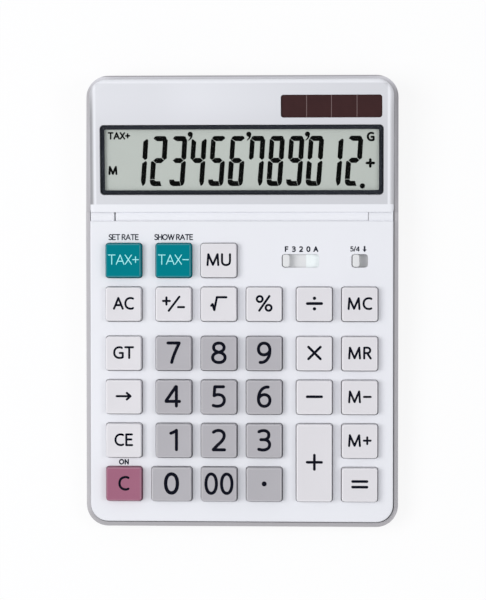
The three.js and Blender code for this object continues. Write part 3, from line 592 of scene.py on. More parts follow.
class Graph:
    """The node tree of a material or of the world."""

    def __init__(self, tree: NodeTree) -> None:
        """Takes over a tree and empties it."""
        self.tree = tree
        tree.nodes.clear()

    def node(self, kind: str, sockets: Sockets, **settings: object) -> Node:
        """Adds a node.

        Args:
            kind: The node's type.
            sockets: Values or wires for its inputs.
            **settings: Its own settings.

        Returns:
            The node.
        """
        node = self.tree.nodes.new(kind)
        for name, value in settings.items():
            setattr(node, name, value)
        for name, value in sockets.items():
            if isinstance(value, Wire):
                self.tree.links.new(value.socket, node.inputs[name])
            else:
                node.inputs[name].default_value = value
        return node

    def wire(self, kind: str, output: str | int, sockets: Sockets, **settings: object) -> Wire:
        """Adds a node and returns one of its outputs as a wire."""
        return Wire(self, self.node(kind, sockets, **settings).outputs[output])

    def place(self) -> Wire:
        """Where a point of the surface lies on the piece, in metres."""
        return self.wire("ShaderNodeTexCoord", "Object", {})

    def axes(self) -> tuple[Wire, Wire]:
        """How far a point lies to the right and to the rear on the piece."""
        place = self.place()
        return place.axis("X"), place.axis("Y")

    def noise(self, size: float, detail: float, stretch: Sequence[float] = (1, 1, 1)) -> Wire:
        """Soft random patches.

        Args:
            size: Size of a patch, in mm.
            detail: How many finer layers the patches have.
            stretch: How many times finer they are along each axis.

        Returns:
            A value of about 0 to 1, mostly near a half.
        """
        sockets = {0: self.place(), 1: stretch}
        place = self.wire("ShaderNodeVectorMath", 0, sockets, operation="MULTIPLY")
        sockets = {"Vector": place, "Scale": 1 / (size * MM), "Detail": detail}
        return self.wire("ShaderNodeTexNoise", 0, sockets)

    def blend(self, share: Wire, first: object, second: object) -> Wire:
        """Mixes two colours by a share."""
        return self.wire("ShaderNodeMix", 2, {0: share, 6: first, 7: second}, data_type="RGBA")

    def step(self, value: Wire, start: float, end: float) -> Wire:
        """A soft step from nought at one place to one at another, both in mm."""
        sockets = {"Value": value, "From Min": start * MM, "From Max": end * MM}
        return self.wire("ShaderNodeMapRange", 0, sockets, interpolation_type="SMOOTHSTEP")

    def bump(self, height: Wire, depth: float) -> Wire:
        """Turns a height of 0 to 1 into a relief that is so many mm deep."""
        sockets = {"Height": height, "Distance": depth * MM, "Strength": 1.0}
        return self.wire("ShaderNodeBump", 0, sockets)

    def seen_directly(self) -> Wire:
        """Tells the rays that show a surface from those that only light the scene.

        Returns:
            One where the camera, a reflection or glass sees the surface, and otherwise nought.
        """
        path = self.node("ShaderNodeLightPath", {}).outputs
        seen = Wire(self, path["Is Camera Ray"])
        for name in ("Is Glossy Ray", "Is Transmission Ray"):
            seen = seen.larger(Wire(self, path[name]))
        return seen


class Wire:
    """An output of a node, on which sums add the nodes that work them out."""

    def __init__(self, graph: Graph, socket: NodeSocket) -> None:
        """Wraps one socket of a graph."""
        self.graph = graph
        self.socket = socket

    def _sum(self, operation: str, first: object, second: object) -> Wire:
        """Adds a Math node."""
        return self.graph.wire("ShaderNodeMath", 0, {0: first, 1: second}, operation=operation)

    def __add__(self, other: object) -> Wire:
        """This value plus another."""
        return self._sum("ADD", self, other)

    def __radd__(self, other: object) -> Wire:
        """A number plus this value."""
        return self._sum("ADD", other, self)

    def __sub__(self, other: object) -> Wire:
        """This value less another."""
        return self._sum("SUBTRACT", self, other)

    def __rsub__(self, other: object) -> Wire:
        """A number less this value."""
        return self._sum("SUBTRACT", other, self)

    def __mul__(self, other: object) -> Wire:
        """This value times another."""
        return self._sum("MULTIPLY", self, other)

    def __rmul__(self, other: object) -> Wire:
        """A number times this value."""
        return self._sum("MULTIPLY", other, self)

    def above(self, limit: float) -> Wire:
        """One where this value is over a limit, and otherwise nought."""
        return self._sum("GREATER_THAN", self, limit)

    def larger(self, other: object) -> Wire:
        """The larger of this value and another."""
        return self._sum("MAXIMUM", self, other)

    def repeated(self, size: float) -> Wire:
        """What is left of this value after whole steps of a size."""
        return self._sum("FLOORED_MODULO", self, size)

    def axis(self, name: str) -> Wire:
        """One axis of a place."""
        return self.graph.wire("ShaderNodeSeparateXYZ", name, {0: self})


# Finishes

MADE: dict[str, Material] = {}


@dataclass(frozen=True)
class Finish:
    """What a surface looks like. Each kind lays its own nodes."""

    name: str
    colour: Colour
    slot: str = ""

    def material(self) -> Material:
        """Makes the finish's material at its first use.

        Returns:
            The material.
        """
        if self.name not in MADE:
            made = bpy.data.materials.new(self.name)
            made.use_nodes = True
            graph = Graph(made.node_tree)
            graph.node("ShaderNodeOutputMaterial", {"Surface": self.surface(graph)})
            MADE[self.name] = made
        return MADE[self.name]

    def surface(self, graph: Graph) -> Wire:
        """Lays the shader."""
        return graph.wire("ShaderNodeBsdfPrincipled", 0, self.sockets(graph))

    def sockets(self, graph: Graph) -> Sockets:
        """The shader's values, which each kind of finish works out with nodes of its own."""
        return {"Base Color": self.colour}

    def shades(self, graph: Graph, share: Wire, first: float, second: float) -> Wire:
        """The colour between two shades of itself."""
        return graph.blend(share, shaded(self.colour, first), shaded(self.colour, second))


@dataclass(frozen=True)
class Moulded(Finish):
    """Moulded plastic with an eroded grain, a faint drift of colour and handled patches."""

    roughness: float = 0.42
    grain: float = 0.28
    grain_depth: float = 0.006
    drift: float = 0.02
    specular: float = 0.25
    drift_size: float = 26
    handled_size: float = 9
    colour_shares: tuple[float, float] = (0.8, 0.2)
    gloss_shares: tuple[float, float] = (0.12, 0.1)

    def sockets(self, graph: Graph) -> Sockets:
        """Lays the grain, the drift and the handled patches.

        Args:
            graph: The material's nodes.

        Returns:
            The shader's values.
        """
        drift = graph.noise(self.drift_size, detail=1.0)
        grain = graph.noise(self.grain, detail=3.0)
        handled = graph.noise(self.handled_size, detail=2.0)
        patches = drift * self.colour_shares[0] + grain * self.colour_shares[1]
        colour = self.shades(graph, patches, 1 + self.drift, 1 - self.drift)
        gloss = (handled - 0.5) * self.gloss_shares[0] + (grain - 0.5) * self.gloss_shares[1]
        return {
            "Base Color": self.base_colour(graph, colour),
            "Roughness": gloss + self.roughness,
            "Specular IOR Level": self.specular,
            "Normal": graph.bump(grain, self.grain_depth),
        }

    def base_colour(self, graph: Graph, colour: Wire) -> Wire:
        """The colour as it is, since only some mouldings have more than one."""
        return colour


@dataclass(frozen=True)
class FacePaintedShade(Moulded):
    """Moulded plastic with painted shade: the face behind the crease is painted greyer, darker towards
    the front and the sides, and its rolled side edges are painted darker still.
    """

    # Painted shade: the panel's colours, the rolled edges' colours, and where each shade lies.
    rear_panel_shade: Colour = tone(222, 223, 228)
    front_panel_shade: Colour = tone(206, 207, 212)
    right_panel_shade: Colour = tone(190, 191, 196)
    left_roll_shade: Colour = tone(150, 150, 154)
    right_roll_shade: Colour = tone(194, 194, 198)
    crease_y: float = 39.645
    crease_soft: float = 0.35
    panel_shade_rise_y: tuple[float, float] = (62.0, 84.0)
    roll_shade_fade_y: tuple[float, float] = (74.0, 100.0)
    left_shade_x: tuple[float, float] = (-15.0, -40.0)
    rear_y: float = 90.84
    half_width: float = 62.6
    panel_shade_insets: tuple[float, float] = (2.6, 1.6)
    panel_shade_soft: float = 0.8
    side_shade_share: float = 0.5
    roll_shade_inset: float = 1.5
    roll_shade_soft: float = 1.2
    roll_shade_depths: tuple[float, float] = (1.4, 0.9)

    def between(self, graph: Graph, inset: float, soft: float) -> Wire:
        """One between the head's sides and nought at them.

        Args:
            graph: The material's nodes.
            inset: How far inside the sides the change lies, in mm.
            soft: How wide it is.

        Returns:
            The share.
        """
        place, x = graph.place().axis("X"), self.half_width - inset
        right = graph.step(place, x + soft / 2, x - soft / 2)
        return right * graph.step(place, -x - soft / 2, -x + soft / 2)

    def near_face(self, graph: Graph) -> Wire:
        """Tells the face from the walls under it.

        Args:
            graph: The material's nodes.

        Returns:
            One at the face's plane and nought on the walls.
        """
        normal, place = FACE.matrix.col[2], graph.place()
        level = normal.xyz.dot(FACE.matrix.translation)
        height = place.axis("Y") * normal.y + place.axis("Z") * normal.z
        return graph.step(height, *(level - depth for depth in self.roll_shade_depths))

    def base_colour(self, graph: Graph, colour: Wire) -> Wire:
        """Paints shade on the panel and on the rolled edges at its sides.

        Args:
            graph: The material's nodes.
            colour: The plastic's colour with its drift.

        Returns:
            The colour of each place.
        """
        across, along = graph.axes()
        inset, rear_inset = self.panel_shade_insets
        rear, soft = self.rear_y - rear_inset, self.panel_shade_soft
        behind = graph.step(along, self.crease_y, self.crease_y + self.crease_soft)
        panel = self.between(graph, inset, soft) * behind
        panel = panel * graph.step(along, rear + soft / 2, rear - soft / 2)
        # Painted shade on the rolled side edges, fading out down the walls and towards the rear.
        roll = (1 - self.between(graph, self.roll_shade_inset, self.roll_shade_soft)) * behind
        roll = roll * self.near_face(graph) * graph.step(along, *self.roll_shade_fade_y[::-1])
        rightward_shade = graph.step(across, -self.half_width, self.half_width)
        # Painted shade on the panel: darker towards the front, and darker towards both sides, most at the
        # right.
        panel_shade = graph.blend(graph.step(along, *self.panel_shade_rise_y), self.front_panel_shade, self.rear_panel_shade)
        leftward_shade, share = graph.step(across, *self.left_shade_x), self.side_shade_share
        panel_shade = graph.blend(leftward_shade * share, panel_shade, self.front_panel_shade)
        panel_shade = graph.blend(rightward_shade * share, panel_shade, self.right_panel_shade)
        # The rolled edges' painted shade is darkest at the left.
        edge = graph.blend(rightward_shade, self.left_roll_shade, self.right_roll_shade)
        return graph.blend(roll, graph.blend(panel, colour, panel_shade), edge)


@dataclass(frozen=True)
class TrayPaintedLightShade(Moulded):
    """Moulded plastic with painted light and shade: painted lighter towards the rear, against the head's
    shade over it, and painted darker along its front and its outer edge.
    """

    # Painted shade at the front and the outer edge, painted light at the rear.
    front: Colour = tone(166, 164, 167)
    rear: Colour = tone(214, 213, 218)
    edge: Colour = tone(164, 162, 166)
    front_shade_y: tuple[float, float] = (-93.0, -84.0)
    rear_y: tuple[float, float] = (86.0, 91.0)
    edge_shade_x: tuple[float, float] = (63.2, 64.2)
    edge_shade_y: tuple[float, float] = (92.5, 92.9)

    def base_colour(self, graph: Graph, colour: Wire) -> Wire:
        """Paints shade on the front, light on the rear and shade on the outer edge at the right and rear.

        Args:
            graph: The material's nodes.
            colour: The plastic's colour with its drift.

        Returns:
            The colour of each place.
        """
        across, along = graph.axes()
        colour = graph.blend(graph.step(across, *self.edge_shade_x), colour, self.edge)
        colour = graph.blend(graph.step(along, *self.front_shade_y), self.front, colour)
        colour = graph.blend(graph.step(along, *self.rear_y), colour, self.rear)
        return graph.blend(graph.step(along, *self.edge_shade_y), colour, self.edge)


@dataclass(frozen=True)
class SliderPaintedLight(Moulded):
    """Moulded plastic whose right end is painted a bright white, as painted light on the shaded floor of
    its slot.
    """

    painted_light: Colour = tone(233, 239, 239)
    painted_light_x: tuple[float, float] = (26.35, 26.75)

    def base_colour(self, graph: Graph, colour: Wire) -> Wire:
        """Paints light on the right end."""
        return graph.blend(graph.step(graph.place().axis("X"), *self.painted_light_x), colour, self.painted_light)


@dataclass(frozen=True)
class KeyPaintedHighlight(Moulded):
    """Moulded plastic with a painted highlight: the rounded edge of the top is painted lighter, where it
    catches the light.
    """

    edge_highlight: float = 0.5

    def base_colour(self, graph: Graph, colour: Wire) -> Wire:
        """Paints the highlight on the edge, which the cap's mesh carries as an attribute."""
        edge = graph.wire("ShaderNodeAttribute", "Fac", {}, attribute_name=HIGHLIGHT_ATTRIBUTE)
        return graph.blend(edge * self.edge_highlight, colour, WHITE)


@dataclass(frozen=True)
class Ink(Finish):
    """Printed ink, a little uneven in colour and gloss."""

    specular: float = 0.03
    shade_range: tuple[float, float] = (0.8, 1.25)
    roughness: float = 0.45
    unevenness: float = 0.2
    speckle_size: float = 0.35
    relief: float = 0.002

    def sockets(self, graph: Graph) -> Sockets:
        """Lays the uneven ink."""
        speckle = graph.noise(self.speckle_size, detail=2.0)
        return {
            "Base Color": self.shades(graph, speckle, *self.shade_range),
            "Roughness": speckle * self.unevenness + self.roughness,
            "Specular IOR Level": self.specular, "Normal": graph.bump(speckle, self.relief),
        }


@dataclass(frozen=True)
class Rubber(Finish):
    """Matt rubber with fine pits and dust."""

    shade_range: tuple[float, float] = (0.85, 1.3)
    roughness: float = 0.7
    unevenness: float = 0.2
    specular: float = 0.25
    pit_size: float = 0.4
    pit_depth: float = 0.02
    dust_size: float = 5

    def sockets(self, graph: Graph) -> Sockets:
        """Lays the pits and the dust."""
        pits, dust = (graph.noise(size, detail=3.0) for size in (self.pit_size, self.dust_size))
        return {
            "Base Color": self.shades(graph, dust, *self.shade_range),
            "Roughness": dust * self.unevenness + self.roughness,
            "Specular IOR Level": self.specular, "Normal": graph.bump(pits, self.pit_depth),
        }


@dataclass(frozen=True)
class Metal(Finish):
    """Plated steel with fine brushed lines and faint tarnish."""

    shade_range: tuple[float, float] = (1, 0.75)
    roughness: float = 0.15
    gloss_shares: tuple[float, float] = (0.2, 0.15)
    line_size: float = 0.5
    line_stretch: tuple[float, float, float] = (0.1, 6, 6)
    line_depth: float = 0.004
    tarnish_size: float = 3

    def sockets(self, graph: Graph) -> Sockets:
        """Lays the brushed lines and the tarnish.

        Args:
            graph: The material's nodes.

        Returns:
            The shader's values.
        """
        lines = graph.noise(self.line_size, detail=2.0, stretch=self.line_stretch)
        tarnish = graph.noise(self.tarnish_size, detail=3.0)
        gloss = lines * self.gloss_shares[0] + tarnish * self.gloss_shares[1]
        return {
            "Base Color": self.shades(graph, tarnish, *self.shade_range), "Metallic": 1.0,
            "Roughness": gloss + self.roughness, "Normal": graph.bump(lines, self.line_depth),
        }


@dataclass(frozen=True)
class CircuitBoard(Finish):
    """Lacquered board with copper tracks that show through."""

    shade_range: tuple[float, float] = (1, 1.8)
    roughness: float = 0.3
    unevenness: float = 0.2
    relief_shares: tuple[float, float] = (0.7, 0.3)
    track_pitch: float = 2.54
    track_start: float = 0.72
    run_pitches: float = 4
    run_end: float = 3.6
    weave_size: float = 0.6
    relief: float = 0.03

    def sockets(self, graph: Graph) -> Sockets:
        """Lays the tracks under the lacquer.

        Args:
            graph: The material's nodes.

        Returns:
            The shader's values.
        """
        across, along = graph.axes()
        pitch = self.track_pitch * MM
        track = across.repeated(pitch).above(pitch * self.track_start)
        track = track * (1 - along.repeated(pitch * self.run_pitches).above(pitch * self.run_end))
        weave = graph.noise(self.weave_size, detail=2.0)
        height = track * self.relief_shares[0] + weave * self.relief_shares[1]
        return {
            "Base Color": self.shades(graph, track, *self.shade_range),
            "Roughness": weave * self.unevenness + self.roughness,
            "Normal": graph.bump(height, self.relief),
        }


@dataclass(frozen=True)
class CrystalGlass(Finish):
    """The display's grey reflecting glass, with a fine grain behind it and a faint cloud."""

    shade_range: tuple[float, float] = (1.03, 0.96)
    colour_shares: tuple[float, float] = (0.4, 0.6)
    roughness: float = 0.35
    unevenness: float = 0.15
    specular: float = 0.3
    grain_size: float = 0.18
    grain_depth: float = 0.001
    cloud_size: float = 22

    def sockets(self, graph: Graph) -> Sockets:
        """Lays the grain and the cloud.

        Args:
            graph: The material's nodes.

        Returns:
            The shader's values.
        """
        grain = graph.noise(self.grain_size, detail=2.0)
        cloud = graph.noise(self.cloud_size, detail=1.0)
        patches = grain * self.colour_shares[0] + cloud * self.colour_shares[1]
        return {
            "Base Color": self.shades(graph, patches, *self.shade_range),
            "Roughness": grain * self.unevenness + self.roughness,
            "Specular IOR Level": self.specular, "Normal": graph.bump(grain, self.grain_depth),
        }


@dataclass(frozen=True)
class ClearSheet(Finish):
    """A clear sheet, of which only the gloss shows."""

    cover: float = 0.012
    uneven_cover: float = 0.016
    roughness: float = 0.04
    unevenness: float = 0.06
    specular: float = 0.4
    wipe_size: float = 12

    def sockets(self, graph: Graph) -> Sockets:
        """Lays a thin gloss over nothing."""
        wipe = graph.noise(self.wipe_size, detail=2.0)
        return {
            "Base Color": self.colour, "Roughness": wipe * self.unevenness + self.roughness,
            "Alpha": wipe * self.uneven_cover + self.cover, "Specular IOR Level": self.specular,
        }


@dataclass(frozen=True)
class SolarStrip(Finish):
    """A dark cell strip under clear lacquer, with hair-fine collecting lines."""

    shade_range: tuple[float, float] = (0.85, 1.15)
    roughness: float = 0.25
    unevenness: float = 0.1
    specular: float = 0.1
    coat: float = 0.1
    coat_roughness: float = 0.08
    line_pitch: float = 0.9
    line_start: float = 0.9
    line_share: float = 0.35
    line_shade: float = 1.5
    film_size: float = 4

    def sockets(self, graph: Graph) -> Sockets:
        """Lays the collecting lines and the mottled film.

        Args:
            graph: The material's nodes.

        Returns:
            The shader's values.
        """
        pitch = self.line_pitch * MM
        line = graph.place().axis("Y").repeated(pitch).above(pitch * self.line_start)
        film = graph.noise(self.film_size, detail=3.0)
        colour = self.shades(graph, film, *self.shade_range)
        lighter = shaded(self.colour, self.line_shade)
        return {
            "Base Color": graph.blend(line * self.line_share, colour, lighter),
            "Roughness": film * self.unevenness + self.roughness,
            "Coat Weight": self.coat, "Coat Roughness": self.coat_roughness,
            "Specular IOR Level": self.specular,
        }


@dataclass(frozen=True)
class TablePaper(Finish):
    """White paper that glows where it is seen directly, so that it keeps only a faint shadow."""

    glow_share: float = 0.86

    def surface(self, graph: Graph) -> Wire:
        """Lays the paper and the glow.

        Args:
            graph: The material's nodes.

        Returns:
            The shader.
        """
        paper = graph.wire("ShaderNodeBsdfDiffuse", 0, {"Color": self.colour})
        glow = graph.wire("ShaderNodeEmission", 0, {"Color": WHITE, "Strength": 1.0})
        share = graph.seen_directly() * self.glow_share
        return graph.wire("ShaderNodeMixShader", 0, {0: share, 1: paper, 2: glow})


WHITE_SHELL = Moulded("white_shell", tone(225, 226, 231), "white_shell", roughness=0.5)
# The display face's material, with painted shade on its panel and rolled edges.
FACE_SHELL_PAINTED_SHADE = FacePaintedShade("face_shell_painted_shade", tone(227, 228, 233), "white_shell", roughness=0.45)
# The tray's material, also used on the battery door, with painted light and shade.
GREY_TRAY_PAINTED_LIGHT_SHADE = TrayPaintedLightShade(
    "grey_tray_painted_light_shade", tone(186, 184, 187), "grey_case", roughness=0.45, grain_depth=0.01
)
GREY_PAN = Moulded("grey_pan", tone(165, 167, 173), "grey_case", roughness=0.48, grain_depth=0.012)
# The caps' edge highlight setting is the strength of the painted highlight along the top edge.
WHITE_CAP = KeyPaintedHighlight(
    "white_cap", tone(213, 211, 215), "key_white", roughness=0.32, specular=0.45, edge_highlight=0.2
)
GREY_CAP = KeyPaintedHighlight(
    "grey_cap", tone(168, 166, 171), "key_grey", roughness=0.32, specular=0.45, edge_highlight=0.13
)
TEAL_CAP = KeyPaintedHighlight(
    "teal_cap", tone(0, 120, 131), "key_teal", roughness=0.5, specular=0.02, drift=0.05, edge_highlight=0.06
)
PINK_CAP = KeyPaintedHighlight("pink_cap", tone(152, 95, 118), "key_pink", specular=0.15, edge_highlight=0.08)
WHITE_KNOB = Moulded("white_knob", tone(217, 218, 219), "key_white", roughness=0.4)
# The decimal selector's plate, with painted light at its right end.
SLIDER_PAINTED_LIGHT = SliderPaintedLight("slider_painted_light", tone(217, 218, 219), "key_white", roughness=0.4)
NAVY_INK = Ink("navy_ink", tone(10, 12, 24))
PALE_INK = Ink("pale_ink", tone(160, 232, 238))
SLATE_INK = Ink("slate_ink", tone(32, 36, 48))
SEGMENT_BLACK = Ink("segment_black", tone(12, 13, 12), specular=0.0)
FRAME_BLACK = Moulded(
    "frame_black", tone(36, 39, 46), "window_black", roughness=0.3, grain_depth=0.001, specular=0.1
)
WINDOW_CLEAR = ClearSheet("window_clear", tone(16, 18, 20), "window_black")
DISPLAY_GREY = CrystalGlass("display_grey", tone(185, 191, 185), "display_grey")
SOLAR_BROWN = SolarStrip("solar_brown", tone(52, 26, 27), "solar_brown")
SOLAR_BED = Moulded("solar_bed", tone(112, 92, 92), "solar_brown", roughness=0.35, grain_depth=0.001)
FOOT_RUBBER = Rubber("foot_rubber", tone(40, 40, 43), "foot_rubber")
MAT_RUBBER = Rubber("mat_rubber", tone(158, 160, 166), "mat_rubber")
STEEL = Metal("steel", tone(196, 198, 203), "steel")
BOARD_GREEN = CircuitBoard("board_green", tone(44, 90, 60), "board_green")
RIBBON_AMBER = Moulded("ribbon_amber", tone(150, 98, 44), "ribbon_amber", roughness=0.3, grain=0.6)
TABLE_WHITE = TablePaper("table_white", tone(240, 240, 242))


# Lettering


# A character's width and strokes, on a body one unit high: M moves, L and C draw, E and D are round.
GLYPHS: dict[str, tuple[float, str]] = {
    "narrow_0": (0.54, "M0.27 1 C0.1 1 0 0.78 0 0.5 C0 0.22 0.1 0 0.27 0 C0.44 0 0.54 0.22 0.54 0.5 "
                       "C0.54 0.78 0.44 1 0.27 1"),
    "0": (0.62, "M0.31 1 C0.11 1 0 0.78 0 0.5 C0 0.22 0.11 0 0.31 0 C0.51 0 0.62 0.22 0.62 0.5 C0.62 "
                "0.78 0.51 1 0.31 1"),
    "1": (0.46, "M0.37 0 L0.37 1 M0.08 0.845 C0.18 0.88 0.27 0.92 0.35 0.98"),
    "2": (0.58, "M0.01 0.91 C0.09 0.97 0.18 1 0.27 1 C0.46 1 0.56 0.88 0.56 0.73 C0.56 0.57 0.43 "
                "0.43 0.3 0.31 C0.19 0.21 0.09 0.11 0 0.01 M0 0 L0.58 0"),
    "3": (0.56, "M0.01 0.94 C0.09 0.98 0.17 1 0.25 1 C0.42 1 0.52 0.91 0.52 0.77 C0.52 0.63 0.41 "
                "0.53 0.26 0.53 L0.11 0.53 M0.26 0.53 C0.45 0.53 0.56 0.43 0.56 0.28 C0.56 0.11 0.42 "
                "0 0.23 0 C0.15 0 0.07 0.01 0 0.035"),
    "4": (0.78, "M0.53 0 L0.53 1 M0 0.24 L0.69 0.24 M0 0.27 L0.5 1"),
    "5": (0.58, "M0.53 1 L0.08 1 L0.045 0.54 M0.045 0.54 C0.12 0.58 0.18 0.595 0.25 0.595 C0.45 "
                "0.595 0.57 0.48 0.57 0.31 C0.57 0.12 0.43 0 0.22 0 C0.13 0 0.06 0.01 0 0.04"),
    "6": (0.59, "M0.5 0.99 C0.29 1.02 0 0.84 0 0.37 C0 0.14 0.12 0 0.3 0 C0.47 0 0.59 0.13 0.59 0.31 "
                "C0.59 0.48 0.48 0.6 0.31 0.6 C0.16 0.6 0.03 0.5 0 0.37"),
    "7": (0.58, "M0 1 L0.58 1 C0.44 0.7 0.29 0.4 0.19 0"),
    "8": (0.64, "M0.32 0.53 C0.15 0.56 0.05 0.65 0.05 0.77 C0.05 0.91 0.16 1 0.32 1 C0.48 1 0.59 "
                "0.91 0.59 0.77 C0.59 0.65 0.49 0.56 0.32 0.53 M0.32 0.53 C0.11 0.49 0 0.39 0 0.26 "
                "C0 0.1 0.13 0 0.32 0 C0.51 0 0.64 0.1 0.64 0.26 C0.64 0.39 0.53 0.49 0.32 0.53"),
    "9": (0.59, "M0.09 0.01 C0.3 -0.02 0.59 0.16 0.59 0.63 C0.59 0.86 0.47 1 0.29 1 C0.12 1 0 0.87 0 "
                "0.69 C0 0.52 0.11 0.4 0.28 0.4 C0.43 0.4 0.56 0.5 0.59 0.63"),
    "A": (0.82, "M0 0 L0.41 1 L0.82 0 M0.14 0.33 L0.68 0.33"),
    "C": (0.72, "M0.72 0.94 C0.65 0.98 0.58 1 0.5 1 C0.2 1 0 0.8 0 0.49 C0 0.2 0.2 0 0.5 0 C0.6 0 "
                "0.67 0.02 0.72 0.06"),
    "E": (0.55, "M0.53 1 L0 1 L0 0 L0.55 0 M0 0.53 L0.48 0.53"),
    "F": (0.52, "M0 0 L0 1 L0.52 1 M0 0.52 L0.46 0.52"),
    "G": (0.8, "M0.72 0.94 C0.65 0.98 0.58 1 0.5 1 C0.2 1 0 0.8 0 0.49 C0 0.2 0.2 0 0.5 0 C0.62 0 "
               "0.72 0.02 0.8 0.06 L0.8 0.46 L0.52 0.46"),
    "H": (0.68, "M0 0 L0 1 M0.68 0 L0.68 1 M0 0.52 L0.68 0.52"),
    "M": (1, "M0 0 L0.07 1 L0.5 0.02 L0.93 1 L1 0"),
    "N": (0.68, "M0 0 L0 1 L0.68 0 L0.68 1"),
    "O": (0.94, "E0.47 0.5 0.47 0.5"),
    "R": (0.6, "M0 0 L0 1 L0.25 1 C0.46 1 0.55 0.9 0.55 0.76 C0.55 0.6 0.44 0.5 0.25 0.5 L0 0.5 "
               "M0.27 0.5 L0.6 0"),
    "S": (0.55, "M0.52 0.93 C0.45 0.98 0.37 1 0.29 1 C0.12 1 0.03 0.89 0.03 0.76 C0.03 0.47 0.55 "
                "0.56 0.55 0.25 C0.55 0.1 0.44 0 0.26 0 C0.16 0 0.07 0.03 0 0.07"),
    "T": (0.72, "M0 1 L0.72 1 M0.36 1 L0.36 0"),
    "U": (0.74, "M0 1 L0 0.38 C0 0.12 0.14 0 0.37 0 C0.6 0 0.74 0.12 0.74 0.38 L0.74 1"),
    "W": (1.2, "M0 1 L0.3 0 L0.6 1 L0.9 0 L1.2 1"),
    "X": (0.68, "M0 0 L0.68 1 M0 1 L0.68 0"),
    " ": (0.14, ""),
    "/": (0.36, "M0 -0.05 L0.36 1.05"),
    "+": (0.62, "M0 0.5 L0.62 0.5 M0.31 0.19 L0.31 0.81"),
    "-": (0.62, "M0 0.5 L0.62 0.5"),
    ".": (0.3, "D0.15 0.5 0.165"),
    "add": (1, "M0 0.5 L1 0.5 M0.5 0 L0.5 1"),
    "subtract": (1, "M0 0.5 L1 0.5"),
    "multiply": (1, "M0 0 L1 1 M0 1 L1 0"),
    "divide": (1, "M0 0.5 L1 0.5 D0.5 0.87 0.12 D0.5 0.13 0.12"),
    "equals": (1, "M0 0.305 L1 0.305 M0 0.695 L1 0.695"),
    "arrow": (1, "M0 0.5 L0.98 0.5 M0.72 0.73 L0.98 0.5 L0.72 0.27"),
    "root": (1.07, "M0 0.34 L0.09 0.45 L0.215 0.03 L0.4 0.94 L1.07 0.94"),
    "percent": (1, "E0.19 0.81 0.203 0.203 E0.81 0.2 0.203 0.203 M0.155 0 L0.867 1.02"),
    "sign": (1.48, "M0 0.67 L0.48 0.67 M0.24 0.42 L0.24 0.92 M0.4 -0.02 L1.15 0.97 M1.06 0.237 L1.48 "
                   "0.237"),
}
ROUND = [index / 24 * math.tau for index in range(24)]
CURVE_STEPS = 9
CAP_STEPS = 5
LONGEST_FLAT = 1.1


class Pen:
    """Draws glyphs as flat polygons with round stroke ends."""

    def __init__(self, width: float) -> None:
        """Takes the pen's width, in mm."""
        self.half = width / 2

    def disc(self, middle: Vector, radius: float) -> Polygon:
        """A round dot as one polygon."""
        return [middle + radius * Vector((math.cos(turn), math.sin(turn))) for turn in ROUND]

    def cap(self, end: Vector, heading: Vector) -> Polygon:
        """Rounds off the end of a stroke.

        Args:
            end: The end of the stroke's centre line, in mm.
            heading: The way that the stroke goes there.

        Returns:
            The half round end as one polygon.
        """
        start = math.atan2(heading.y, heading.x) - math.pi / 2
        turns = [start + index / CAP_STEPS * math.pi for index in range(CAP_STEPS + 1)]
        return [end + self.half * Vector((math.cos(turn), math.sin(turn))) for turn in turns]

    def ribbon(self, points: Sequence[Vector], closed: bool = False) -> list[Polygon]:
        """Gives a line of points the pen's width.

        Args:
            points: The line's points, in mm.
            closed: Whether its last point meets its first.

        Returns:
            One polygon for each stretch, and the round ends of an open line.
        """
        count = len(points)
        edges = []
        for index, point in enumerate(points):
            before = points[index - 1] if index or closed else point
            after = points[(index + 1) % count] if index < count - 1 or closed else point
            heading = (after - before).normalized()
            side = Vector((-heading.y, heading.x)) * self.half
            edges.append((point + side, point - side, heading))
        pairs = list(zip(edges, edges[1:] + edges[:1] if closed else edges[1:]))
        shapes = [[first[0], first[1], last[1], last[0]] for first, last in pairs]
        if not closed:
            shapes.append(self.cap(points[0], -edges[0][2]))
            shapes.append(self.cap(points[-1], edges[-1][2]))
        return shapes

    def draw(self, strokes: str, height: float, corner: Vector) -> list[Polygon]:
        """Draws a glyph.

        Args:
            strokes: Its strokes, as the table of glyphs has them.
            height: Height of the strokes' centre lines, in mm.
            corner: Where its lower left corner goes.

        Returns:
            Its polygons.
        """
        shapes: list[Polygon] = []
        at = Vector((0.0, 0.0))
        for kind, figures in re.findall("([A-Z])([^A-Z]*)", strokes):
            numbers = [float(number) * height for number in figures.split()]
            spots = [Vector(pair) for pair in zip(numbers[::2], numbers[1::2])]
            if kind == "L":
                shares = max(1, math.ceil((spots[0] - at).length / LONGEST_FLAT))
                line = [at.lerp(spots[0], index / shares) for index in range(shares + 1)]
                shapes += self.ribbon([corner + point for point in line])
            elif kind == "C":
                line = interpolate_bezier(at, *spots, CURVE_STEPS)
                shapes += self.ribbon([corner + point.to_2d() for point in line])
            elif kind == "E":
                middle, (wide, tall) = corner + spots[0], spots[1]
                rim = [Vector((wide * math.cos(turn), tall * math.sin(turn))) for turn in ROUND]
                shapes += self.ribbon([middle + point for point in rim], closed=True)
            elif kind == "D":
                shapes.append(self.disc(corner + spots[0], numbers[2]))
            if kind in "MLC":
                at = spots[-1]
        return shapes


